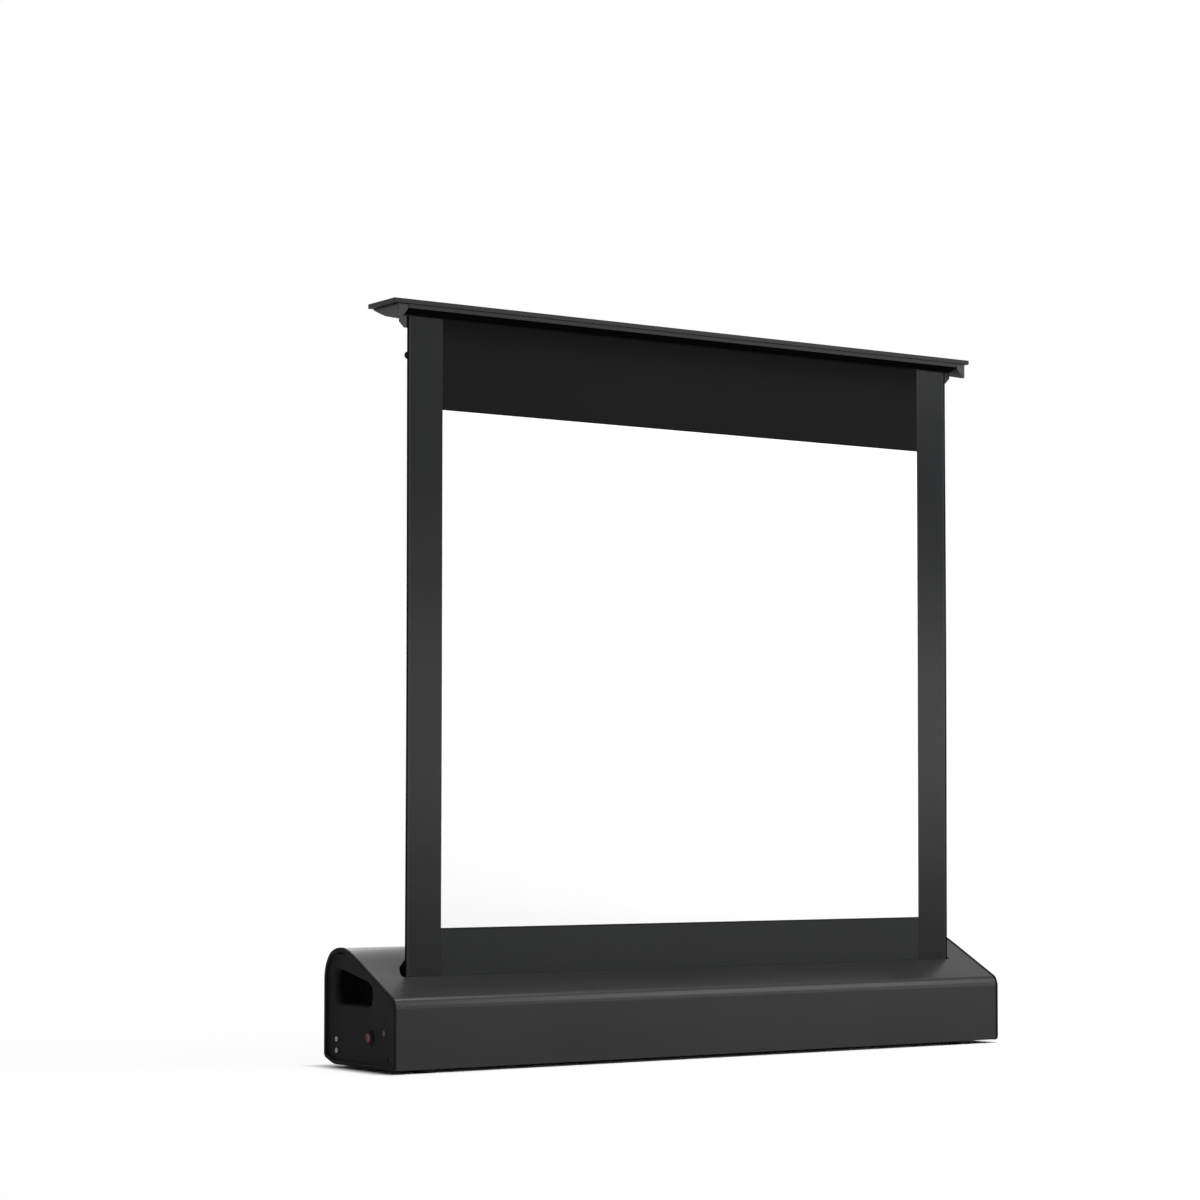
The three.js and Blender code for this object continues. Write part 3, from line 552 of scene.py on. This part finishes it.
def end_cap(side, name, node):
    mould = Moulding()
    steps = [(cap_back - cap_face, plug_inset), (rim_height, plug_inset), (rim_height, -cap_proud)]
    steps += [(out, inward - cap_proud) for inward, out in curve(rim_outer_round)]
    steps += [(out, rim_width - inward) for inward, out in reversed(curve(rim_inner_round))]
    steps += [(rim_height - out, rim_width + inward) for inward, out in curve(panel_fillet)]
    outer = cap_loops(mould, steps, side, casing_corners, corner_reaches)
    mould.wall(*outer)
    grip_steps = [(rim_height + along, -out) for along, out in curve(grip_lip)]
    grip = cap_loops(mould, grip_steps + [(cap_back - cap_face, 0)], side, grip_corners, grip_round)
    mould.wall(*grip)
    on_panel, on_back = [outer[-1], grip[0]], [outer[0], grip[-1]]
    holes = [(dark_screw_seat, dark_screw_hole, seat_depth)]
    if side > 0:
        holes += [(plug_seat, plug_hole, seat_depth), (button_seat, button_hole, None)]
    for seat, radius, depth in holes:
        end = cap_back - cap_face if depth is None else rim_height + depth
        steps = [(rim_height, -hole_chamfer), (rim_height + hole_chamfer, 0), (end, 0)]
        hole = cap_loops(mould, steps, side, circle(seat.x, seat.y, radius))
        mould.wall(*hole)
        on_panel.append(hole[0])
        if depth is None:
            on_back.append(hole[-1])
        else:
            mould.flat(hole[-1])
    mould.flat(*on_panel)
    mould.flat(*on_back)
    return mould.done(name, black_cap, "base", [node])


end_cap(1, "cap_moulding_left", "end_cap_left")
end_cap(-1, "cap_moulding_right", "end_cap_right")


# Hand grips: deep cups behind the holes in the end caps, moulded in plain matt black. Fingers go in
# and lift the casing by the top edge.
black_recess = Finish("recess_black", Specular_IOR_Level=0.05)
spot = black_recess.place()
cloud = black_recess.noise(spot, 60, 3)
black_recess.set("Base Color", black_recess.mix(cloud, grey(0.0018), grey(0.0032)))
black_recess.set("Roughness", 0.6 + cloud * 0.2)
black_recess.bump(black_recess.noise(spot, 900, 2), 0.00008, 0.7)

cup_mouth = -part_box("grip_cup_left")[0].x
cup_end = -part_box("grip_cup_left")[1].x
cup_wall = 0.0025
cup_draft = 0.0006
cup_fillet = 0.004


def grip_cup(side, name, node):
    mould = Moulding()
    mouth = -cap_face - cup_mouth
    end = -cap_face - cup_end
    outer = cap_loops(mould, [(end, -cup_wall), (mouth, -cup_wall)], side, grip_corners, grip_round)
    steps = [(mouth, 0)]
    steps += [(end - cup_wall - out, cup_draft + inward) for inward, out in curve(cup_fillet)]
    inner = cap_loops(mould, steps, side, grip_corners, grip_round)
    mould.wall(*outer)
    mould.wall(outer[-1], inner[0])
    mould.wall(*inner)
    mould.flat(outer[0])
    mould.flat(inner[-1])
    return mould.done(name, black_recess, "base", [node])


grip_cup(1, "hand_cup_left", "grip_cup_left")
grip_cup(-1, "hand_cup_right", "grip_cup_right")


# Release button: a red push button, level with the left cap's rim, in a low black collar. Pressing it
# frees the roller's brake.
def turned(mould, profile, sides=64):
    """Loops round the Z axis through (radius, height) points; a radius of 0 closes to a point."""
    turns = [2 * math.pi * i / sides for i in range(sides)]
    loops = [[(radius * math.cos(turn), radius * math.sin(turn), height) for turn in turns] if radius
             else [(0, 0, height)] for radius, height in profile]
    rings = [mould.loop(points) for points in loops]
    for first, second in zip(rings, rings[1:]):
        if len(first) == len(second):
            mould.wall(first, second)
        else:
            tip, ring = sorted((first, second), key=len)
            for i, corner in enumerate(ring):
                mould.work.faces.new((corner, ring[(i + 1) % sides], tip[0]))
    return rings


def facing(place, out):
    """The turn and shift that put local Z along the direction out, at a place."""
    return Matrix.Translation(place) @ Vector(out).to_track_quat("Z", "Y").to_matrix().to_4x4()


signal_red = Finish("button_red", Roughness=0.32, Specular_IOR_Level=0.12)
tint = signal_red.noise(signal_red.place(), 500, 3)
signal_red.set("Base Color", signal_red.mix(tint, (0.075, 0.004, 0.006, 1), (0.10, 0.006, 0.009, 1)))
signal_red.bump(signal_red.noise(signal_red.place(), 1800, 2), 0.00004, 0.5)

button_radius = 0.0075
button_round = 0.0012
button_dish = 0.0005
dish_shares = [(0, 1), (0.45, 0.8), (0.8, 0.2)]
button_flange = (0.0095, 0.002)
button_stem = (0.0032, 0.008)
left_out = (-1, 0, 0)
button_face = Vector((cap_face, *button_seat))

button = Moulding()
rise = cap_back - cap_face
profile = [(button_radius * out, -button_dish * down) for out, down in dish_shares]
profile += [(button_radius - out, -along) for along, out in curve(button_round)]
profile += [(button_radius, -rise), (button_flange[0], -rise), (button_flange[0], -rise - button_flange[1]),
            (button_stem[0], -rise - button_flange[1]), (button_stem[0], -rise - button_stem[1]),
            (0, -rise - button_stem[1])]
turned(button, profile)
button.done("push_button", signal_red, "release_button", ["release_button"],
            facing(button_face, left_out))

collar_radius = 0.012
collar_height = 0.0021
collar_round = 0.0006
collar_shoulder = collar_round * 1.6
collar_crown = collar_round * 0.5
collar = Moulding()
rings = turned(collar, [(button_hole, 0), (button_hole, collar_height - collar_round),
                        (button_hole + collar_round, collar_height),
                        (collar_radius - collar_shoulder, collar_height),
                        (collar_radius - collar_crown, collar_height - collar_crown),
                        (collar_radius, collar_height - collar_shoulder), (collar_radius, 0)])
collar.wall(rings[-1], rings[0])
collar.done("button_collar", black_cap, "base", ["button_bezel"],
            facing(Vector((panel_face, *button_seat)), left_out))


# Screws: pan heads with a cross recess. Two bright ones at the back of each cap, a blackened one sunk
# at its front, and a blackened one at each end of the front wall's foot.
bright_metal = Finish("screw_bright", Metallic=1)
scuff = bright_metal.noise(bright_metal.place(), 700, 3)
bright_metal.set("Base Color", bright_metal.mix(scuff, grey(0.17), grey(0.27)))
bright_metal.set("Roughness", 0.34 + scuff * 0.16)
black_metal = Finish("screw_black", Metallic=1)
scuff = black_metal.noise(black_metal.place(), 700, 3)
black_metal.set("Base Color", black_metal.mix(scuff, grey(0.010), grey(0.022)))
black_metal.set("Roughness", 0.40 + scuff * 0.2)

cross_length_share = 0.62
cross_width_share = 0.2
cross_depth_share = 0.6
cross_taper_share = 0.75
head_round = 0.0005
head_crown = head_round * 0.3
screw_sides = 32
shank_radius = 0.0016


def screw(node, out, radius, height, finish, slot):
    """A cross head screw in place of a frame node, its head's face at the node's outer end."""
    low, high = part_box(node)
    out = Vector(out)
    middle = (low + high) / 2
    half = (high - low) / 2
    reach = abs(out.dot(half))
    length = 2 * reach
    mould = Moulding()
    rings = turned(mould, [(0, -length), (shank_radius, -length), (shank_radius, -height), (radius, -height),
                           (radius, -head_round), (radius - head_crown, -head_crown),
                           (radius - head_round, 0)], screw_sides)
    long, wide = radius * cross_length_share, radius * cross_width_share
    quarter = [(long, -wide), (long, wide), (wide, wide)]
    cross = [Matrix.Rotation(math.pi / 2 * turn, 2) @ Vector(point)
             for turn in range(4) for point in quarter]
    mouth = mould.loop([(p.x, p.y, 0) for p in cross])
    depth = height * cross_depth_share
    foot = mould.loop([(p.x * cross_taper_share, p.y * cross_taper_share, -depth) for p in cross])
    mould.flat(rings[-1], mouth)
    mould.wall(mouth, foot)
    mould.flat(foot)
    mould.done(node + "_cross_head", finish, "base", [node], facing(middle + out * reach, out))


cap_head = (0.004, 0.002)
wall_head = (0.0032, 0.002)
for side, out in (("left", left_out), ("right", (1, 0, 0))):
    screw(f"cap_screw_{side}_upper", out, *cap_head, bright_metal, "silver")
    screw(f"cap_screw_{side}_lower", out, *cap_head, bright_metal, "silver")
    screw(f"cap_screw_{side}_front", out, *cap_head, black_metal, "dark_screw")
    screw(f"front_screw_{side}", (0, -1, 0), *wall_head, black_metal, "dark_screw")


# Grey plug: a push-in nylon stopper that closes a hole near the left cap's front edge. Its face is
# slightly domed and its rim rounded.
stopper_grey = Finish("stopper_grey", Specular_IOR_Level=0.3)
tint = stopper_grey.noise(stopper_grey.place(), 400, 3)
stopper_grey.set("Base Color", stopper_grey.mix(tint, grey(0.012), grey(0.020)))
stopper_grey.set("Roughness", 0.45 + tint * 0.2)

stopper_radius = 0.0045
stopper_round = 0.0007
stopper_dome = 0.0001
stopper_flat_share = 0.5
stopper_sides = 40
stopper_low, stopper_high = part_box("cap_plug_left")
stopper = Moulding()
depth = stopper_high.x - stopper_low.x
profile = [(0, stopper_dome), (stopper_radius * stopper_flat_share, 0)]
profile += [(stopper_radius - out, -along) for along, out in curve(stopper_round)]
turned(stopper, profile + [(stopper_radius, -depth), (0, -depth)], stopper_sides)
stopper.done("stopper_left", stopper_grey, "base", ["cap_plug_left"],
             facing(Vector((stopper_low.x, *plug_seat)), left_out))


# Feet: low rubber discs under the tray's corners. Three ring grooves in each sole keep the casing from
# sliding when the bar is pulled up.
black_rubber = Finish("foot_rubber", Specular_IOR_Level=0.2)
dust = black_rubber.noise(black_rubber.place(), 300, 4)
black_rubber.set("Base Color", black_rubber.mix(dust, grey(0.008), grey(0.016)))
black_rubber.set("Roughness", 0.75 + dust * 0.2)
black_rubber.bump(dust, 0.0001, 0.5)

foot_radius = 0.020
foot_edge = 0.0006
groove_depth = 0.0005
groove_width = 0.0015
groove_shares = (0.78, 0.5, 0.22)
groove_floor_shares = (0.8, 0.2)
for place in ("front_left", "front_right", "back_left", "back_right"):
    low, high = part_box("foot_" + place)
    rubber = Moulding()
    profile = [(0, high.z), (foot_radius - foot_edge, high.z), (foot_radius, high.z - foot_edge),
               (foot_radius, foot_edge), (foot_radius - foot_edge, 0)]
    for share in groove_shares:
        edge = foot_radius * share
        profile += [(edge + groove_width, 0)]
        profile += [(edge + groove_width * along, groove_depth) for along in groove_floor_shares]
        profile += [(edge, 0)]
    turned(rubber, profile + [(0, 0)])
    middle = (low + high) / 2
    rubber.done("rubber_foot_" + place, black_rubber, "base", ["foot_" + place],
                Matrix.Translation((middle.x, middle.y, 0)))


# Screen fabric: a coated cloth, stretched between the roller and the bar. The front has a matt white
# picture area with black round it: a deep plain drop above, satin side strips, a border below. A thin line
# of painted shade runs along the white's top and bottom edge. Each outer edge has a dark matt hem, its
# darkness partly painted edge shade, with a paler band just inside it. The cloth's head, clamped in the
# bar, stays in sight when all the rest is wound in.
weave_pitch = 0.0007


def weave(finish):
    """Height of a plain weave, from the object's own X and Z."""
    across, _, up = finish.axes()
    turn = 2 * math.pi / weave_pitch
    return (across * turn).sine() * (up * turn).sine()


fabric_low, fabric_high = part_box("screen_fabric")
cloth_half = fabric_high.x
white_half = 0.4845
white_bottom = 0.220
white_top = 1.037
edge_shade_width = 0.003
hem_width = 0.003
pale_band_width = 0.0035


def cloth_finish(name, dark, pale, roughness, bump, **uniform):
    """A woven finish whose colour wanders between two shades. Returns it with its colour."""
    finish = Finish(name, **uniform)
    spot = finish.place()
    mottle = finish.noise(spot, 7, 3)
    fine = finish.noise(spot, 420, 3)
    finish.set("Roughness", roughness + fine * 0.1)
    finish.bump(weave(finish) + fine, bump, 0.35)
    colour = finish.mix(mottle, dark, pale)
    finish.set("Base Color", colour)
    return finish, colour


# Painted shade: a thin near black line runs along the bottom edge of the drop and the top edge of the lower
# border, where they meet the white.
painted_edge_shade_black = grey(0.003)
white_cloth, _ = cloth_finish("cloth_white", grey(0.90), grey(0.92), 0.8, 0.00006, Specular_IOR_Level=0.3)
drop_cloth, plain = cloth_finish("cloth_drop", grey(0.0037), grey(0.0053), 0.75, 0.00006,
                                 Specular_IOR_Level=0.07)
up = drop_cloth.axes()[2]
drop_cloth.set("Base Color", drop_cloth.mix(up < white_top + edge_shade_width, plain, painted_edge_shade_black))
lower_cloth, plain = cloth_finish("cloth_lower_border", grey(0.009, 0.16), grey(0.012, 0.16), 0.32, 0.00004,
                                  Specular_IOR_Level=0.13)
up = lower_cloth.axes()[2]
lower_cloth.set("Base Color", lower_cloth.mix(up > white_bottom - edge_shade_width, plain, painted_edge_shade_black))
side_cloth, plain = cloth_finish("cloth_side_strip", grey(0.005, 0.2), grey(0.007, 0.2), 0.12, 0.00003,
                                 Specular_IOR_Level=0.14)
from_middle = abs(side_cloth.axes()[0])
# A paler band runs just inside the hem on each side strip.
pale_band = from_middle > cloth_half - hem_width - pale_band_width
side_cloth.set("Base Color", side_cloth.mix(pale_band, plain, grey(0.014, 0.16)))
# The hem's near black, matt finish is partly painted shade along the cloth's outer edges.
hem_and_edge_shade_cloth, _ = cloth_finish("cloth_hem_and_edge_shade", grey(0.0015), grey(0.0025), 0.9, 0.00006, Specular_IOR_Level=0.02)
back_cloth, _ = cloth_finish("cloth_back", grey(0.013), grey(0.019), 0.55, 0.00006, Specular_IOR_Level=0.25)

cloth_thickness = 0.0006
cloth_front = fabric_low.y
squash_height = 0.143
head_height = 0.031
head_bottom = fabric_high.z - head_height
wave_height = 0.0004
waves_across, waves_up = 9, 2
curl_height = 0.0008
curl_width = 0.12
cloth_finishes = [white_cloth, drop_cloth, lower_cloth, side_cloth, hem_and_edge_shade_cloth, back_cloth]


def stations(stops, counts):
    """Places along a line, evenly between each pair of stops."""
    places = [stops[0]]
    for start, end, count in zip(stops, stops[1:], counts):
        places += [start + (end - start) * (i + 1) / count for i in range(count)]
    return places


def cloth(name, across, along, place, front, body, replaced=()):
    """A sheet of cloth: place(x, z, layer) gives its points, front(x, z) the finish at a face's middle."""
    verts = [place(x, z, layer) for layer in (0, 1) for z in along for x in across]
    wide, high = len(across), len(along)
    size = wide * high
    faces = []
    finishes = []
    for j in range(high - 1):
        for i in range(wide - 1):
            a = j * wide + i
            faces.append((a, a + 1, a + wide + 1, a + wide))
            middle_x, middle_z = (across[i] + across[i + 1]) / 2, (along[j] + along[j + 1]) / 2
            finishes.append(cloth_finishes.index(front(middle_x, middle_z)))
    faces += [tuple(size + v for v in reversed(face)) for face in faces]
    rim = list(range(wide)) + [j * wide + wide - 1 for j in range(1, high)]
    rim += [(high - 1) * wide + i for i in reversed(range(wide - 1))]
    rim += [j * wide for j in reversed(range(1, high - 1))]
    faces += [(b, a, size + a, size + b) for a, b in zip(rim, rim[1:] + rim[:1])]
    finishes += [cloth_finishes.index(back_cloth)] * (len(faces) - len(finishes))
    made = piece(name, verts, faces, white_cloth, body, replaced)
    for finish in cloth_finishes[1:]:
        made.data.materials.append(finish.material)
    made.data.polygons.foreach_set("material_index", finishes)
    return made


def screen_point(x, z, layer):
    hold = math.sin(math.pi * (z - squash_height) / (head_bottom - squash_height))
    hold = max(hold, 0)
    wave = wave_height * (1 + math.sin(waves_across * x + waves_up * z)) * hold
    curl = max(abs(x) - cloth_half + curl_width, 0) / curl_width
    bow = (wave + curl_height * curl ** 2 * hold ** 0.5) * hold
    return x, cloth_front + layer * cloth_thickness - bow, z


def screen_front(x, z):
    if abs(x) > white_half:
        return hem_and_edge_shade_cloth if abs(x) > cloth_half - hem_width else side_cloth
    if z > white_top:
        return drop_cloth
    return white_cloth if z > white_bottom else lower_cloth


cloth_columns = [1, 8, 56, 8, 1]
cloth_rows = [8, 72, 12]
head_rows = 3
lead_rows = 4
hem_start = cloth_half - hem_width
seams = [-cloth_half, -hem_start, -white_half, white_half, hem_start, cloth_half]
across = stations(seams, cloth_columns)
along = stations([squash_height, white_bottom, white_top, head_bottom], cloth_rows)
screen = cloth("screen_surface", across, along, screen_point, screen_front, "base", ["screen_fabric"])
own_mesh(screen)


def flat_point(x, z, layer):
    return x, cloth_front + layer * cloth_thickness, z


head = cloth("screen_head", across, stations([head_bottom, fabric_high.z], [head_rows]), flat_point,
             screen_front, "top_bar")
lead = cloth("screen_lead", across, stations([fabric_low.z, squash_height], [lead_rows]), flat_point,
             screen_front, "base")


# Roll: the turns of cloth that are still on the tube with the screen up, wound with a little air
# between them.
roll_middle = middle_of("fabric_roll")
roll_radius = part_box("fabric_roll")[1].z - roll_middle.z
turn_pitch = 0.0008
turns_left = 4
turn_steps = 48
roll_columns = 12


def roll_point(x, turns, layer):
    turn = 2 * math.pi * turns
    radius = roll_radius - turn_pitch * turns - (1 - layer) * cloth_thickness
    return x, roll_middle.y + radius * math.cos(turn), roll_middle.z - radius * math.sin(turn)


roll = cloth("wound_turns", stations([-cloth_half, cloth_half], [roll_columns]),
             stations([0, turns_left], [turns_left * turn_steps]), roll_point,
             lambda x, turns: lower_cloth, "roller", ["fabric_roll"])


# Roller: a steel tube with nylon plugs in its ends, on a dead shaft between two stamped brackets. A
# spring in a sleeve on the shaft winds the screen in.
zinc_steel = Finish("steel_zinc", Metallic=1)
spot = zinc_steel.place()
flakes = zinc_steel.noise(spot, 60, 4)
brushed = zinc_steel.noise(spot, 500, 2, 0.5, (0.05, 1, 1))
zinc_steel.set("Base Color", zinc_steel.mix(flakes, (0.42, 0.43, 0.45, 1), (0.58, 0.58, 0.59, 1)))
zinc_steel.set("Roughness", 0.30 + flakes * 0.12 + brushed * 0.08)
zinc_steel.bump(brushed, 0.00004, 0.5)
grey_nylon = Finish("nylon_grey", Specular_IOR_Level=0.4)
spot = grey_nylon.place()
cloud = grey_nylon.noise(spot, 90, 3)
grey_nylon.set("Base Color", grey_nylon.mix(cloud, grey(0.30), grey(0.36)))
grey_nylon.set("Roughness", 0.45 + cloud * 0.15)
grey_nylon.bump(grey_nylon.noise(spot, 900, 2), 0.00005, 0.6)
bare_tube = Finish("roller_tube", Metallic=1)
spot = bare_tube.place()
brushed = bare_tube.noise(spot, 700, 3, 0.5, (0.03, 1, 1))
bare_tube.set("Base Color", bare_tube.mix(brushed, grey(0.46), grey(0.58)))
bare_tube.set("Roughness", 0.28 + brushed * 0.15)

turned_edge = 0.0003
deburred("roller_tube", "winding_tube", bare_tube, "roller", turned_edge)
deburred("spring_shaft", "dead_shaft", zinc_steel, "base", turned_edge)
deburred("roller_spring", "spring_sleeve", zinc_steel, "base")
for side in ("left", "right"):
    deburred("roller_plug_" + side, "tube_plug_" + side, grey_nylon, "roller")
    deburred("roller_bracket_" + side, "shaft_bracket_" + side, zinc_steel, "base")


# Felt: a soft dark strip along the mouth's front edge, squared in section with rounded sides. It is
# glued on, so that the cloth doesn't scuff there.
fuzzy_felt = Finish("felt_black", Specular_IOR_Level=0.05, Sheen_Weight=0.3)
spot = fuzzy_felt.place()
fine_speckle = fuzzy_felt.noise(spot, 1400, 4, 0.7)
fuzzy_felt.set("Base Color", fuzzy_felt.mix(fine_speckle, grey(0.004), grey(0.014)))
fuzzy_felt.set("Roughness", 0.85 + fine_speckle * 0.15)
fuzzy_felt.bump(fine_speckle, 0.0003, 0.8)

felt_low, felt_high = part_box("slot_felt")
felt_middle, felt_half = (felt_low + felt_high) / 2, (felt_high - felt_low) / 2
felt_columns = 240
felt_ring = 10
felt_fuzz = 0.00012
fuzz_turns = (3.1, 5.3, 1.7)
felt_squareness = 0.35
felt_sharp = 60
verts, faces = [], []
for i in range(felt_columns + 1):
    x = felt_low.x + (felt_high.x - felt_low.x) * i / felt_columns
    for j in range(felt_ring):
        turn = 2 * math.pi * j / felt_ring
        fuzz = felt_fuzz * math.sin(fuzz_turns[0] * i + fuzz_turns[1] * j) * math.sin(fuzz_turns[2] * i)
        y = felt_middle.y + (felt_half.y - felt_fuzz + fuzz) * math.cos(turn)
        up = math.sin(turn)
        z = felt_middle.z + felt_half.z * math.copysign(abs(up) ** felt_squareness, up)
        verts.append((x, y, z))
for i in range(felt_columns):
    for j in range(felt_ring):
        a, b = i * felt_ring + j, i * felt_ring + (j + 1) % felt_ring
        faces.append((a, b, b + felt_ring, a + felt_ring))
faces += [tuple(range(felt_ring)), tuple(reversed(range(felt_columns * felt_ring, len(verts))))]
piece("felt_strip", verts, faces, fuzzy_felt, "base", ["slot_felt"], felt_sharp)


# Top bar: an extruded bar under a flat lid, its sloping underside painted with shade. It carries the cloth,
# and is what one pulls up. Wedge shaped blocks close its ends and rest on the casing's slope when it is
# down.
matt_lid = Finish("lid_black", Specular_IOR_Level=0.16)
spot = matt_lid.place()
cloud = matt_lid.noise(spot, 6, 3)
matt_lid.set("Base Color", matt_lid.mix(cloud, grey(0.009), grey(0.012)))
matt_lid.set("Roughness", 0.42 + cloud * 0.1)
matt_lid.bump(matt_lid.noise(spot, 900, 2), 0.00005, 0.5)
black_bar = Finish("bar_black", Specular_IOR_Level=0.28)
spot = black_bar.place()
drawn = black_bar.noise(spot, 300, 3, 0.5, (0.02, 1, 1))
cloud = black_bar.noise(spot, 6, 3)
black_bar.set("Base Color", black_bar.mix(cloud, grey(0.010), grey(0.014)))
black_bar.set("Roughness", 0.34 + drawn * 0.14)
black_bar.bump(drawn, 0.00003, 0.5)

# Painted shade: the bar's sloping underside in front of the cloth gets a near black, glossless finish that
# stands in for the shade under the bar.
underside_shade_paint = Finish("bar_underside_painted_shade", Specular_IOR_Level=0)
fine_speckle = underside_shade_paint.noise(underside_shade_paint.place(), 1400, 3)
underside_shade_paint.set("Base Color", underside_shade_paint.mix(fine_speckle, grey(0.0015), grey(0.003)))
underside_shade_paint.set("Roughness", 0.9 + fine_speckle * 0.1)

lid_edge = 0.0008
bar_edge = 0.0006
fine_steps = 3
deburred("top_plate", "bar_lid", matt_lid, "top_bar", lid_edge, fine_steps)
extrusion = deburred("bar_body", "bar_extrusion", black_bar, "top_bar", bar_edge, fine_steps)
bar_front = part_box("bar_body")[0].y
lip_depth = 0.003
lip_forward = 0.0025
shaded_underside_slope = -0.5
for corner in extrusion.data.vertices:
    if corner.co.y < bar_front + lip_depth:
        corner.co.y -= lip_forward
extrusion.data.materials.append(underside_shade_paint.material)
# Faces sloping down in front of the cloth take the painted shade.
for face in extrusion.data.polygons:
    face.material_index = int(face.normal.z < shaded_underside_slope and face.center.y < cloth_front)
for side in ("left", "right"):
    deburred("bar_end_" + side, "bar_end_block_" + side, black_bar, "top_bar", lid_edge, fine_steps)


# Batten and stays: the cloth's top hem is clamped to a black steel batten behind it, and a short stay
# at each end keeps its corners flat.
powder_black = Finish("powder_black", Specular_IOR_Level=0.4)
spot = powder_black.place()
peel = powder_black.noise(spot, 260, 2)
cloud = powder_black.noise(spot, 8, 3)
powder_black.set("Base Color", powder_black.mix(cloud, grey(0.012), grey(0.018)))
powder_black.set("Roughness", 0.42 + peel * 0.14)
powder_black.bump(peel, 0.00012, 0.5)

batten = deburred("fabric_batten", "hem_batten", powder_black, "top_bar")
batten_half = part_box("fabric_batten")[1].x
batten_shoulder = 1.1765
web_seam = 0.0005
web_reach = 0.001
stay_edge = 0.0003
for corner in batten.data.vertices:
    if corner.co.z > batten_shoulder and abs(abs(corner.co.x) - cloth_half) < web_reach:
        corner.co.x = math.copysign(batten_half - web_seam, corner.co.x)
for side in ("left", "right"):
    deburred("edge_stay_" + side, "corner_stay_" + side, powder_black, "top_bar", stay_edge)


# Scissor arms: four flat steel bars with round ends, powder coated black. They lie in two layers
# behind the cloth and are pinned where they cross and meet.
arm_edge = 0.001
arm_names = {"arm_lower_back": "lower_back_arm", "arm_lower_front": "lower_front_arm",
             "arm_upper_back": "upper_back_arm", "arm_upper_front": "upper_front_arm"}
for node, body in arm_names.items():
    deburred(node, node + "_bar", powder_black, body, arm_edge, fine_steps)


# Pins, nut and pivot brackets: zinc plated steel. The shouldered pins turn in the arms, and the nut on
# the lowest one clamps it, so that the screen stays where it is pulled to.
pin_edge = 0.0008
bracket_edge = 0.0005
pin_bodies = {
    "pin_lower_cross": "lower_back_arm", "pin_elbow_right": "lower_back_arm",
    "pin_elbow_left": "lower_front_arm", "pin_base_slide": "lower_front_arm",
    "pin_upper_cross": "upper_back_arm", "pin_top_slide": "upper_back_arm",
    "base_pivot_pin": "base", "top_pivot_pin": "top_bar",
}
for node, body in pin_bodies.items():
    deburred(node, node + "_shouldered", zinc_steel, body, pin_edge, fine_steps)
deburred("friction_nut", "clamp_nut", bright_metal, "base", pin_edge, fine_steps)
deburred("base_pivot_bracket", "lower_pivot_bracket", zinc_steel, "base", bracket_edge)
deburred("top_pivot_bracket", "upper_pivot_bracket", zinc_steel, "top_bar", bracket_edge)


# Rails and slide blocks: a nylon block on each free arm end slides along a slotted steel rail, one in
# the casing and one behind the bar.
block_edge = 0.0006
deburred("base_rail", "lower_guide_rail", zinc_steel, "base")
deburred("top_rail", "upper_guide_rail", powder_black, "top_bar")
deburred("base_slide_block", "lower_slide_block", grey_nylon, "base_slide", block_edge)
deburred("top_slide_block", "upper_slide_block", grey_nylon, "top_slide", block_edge)
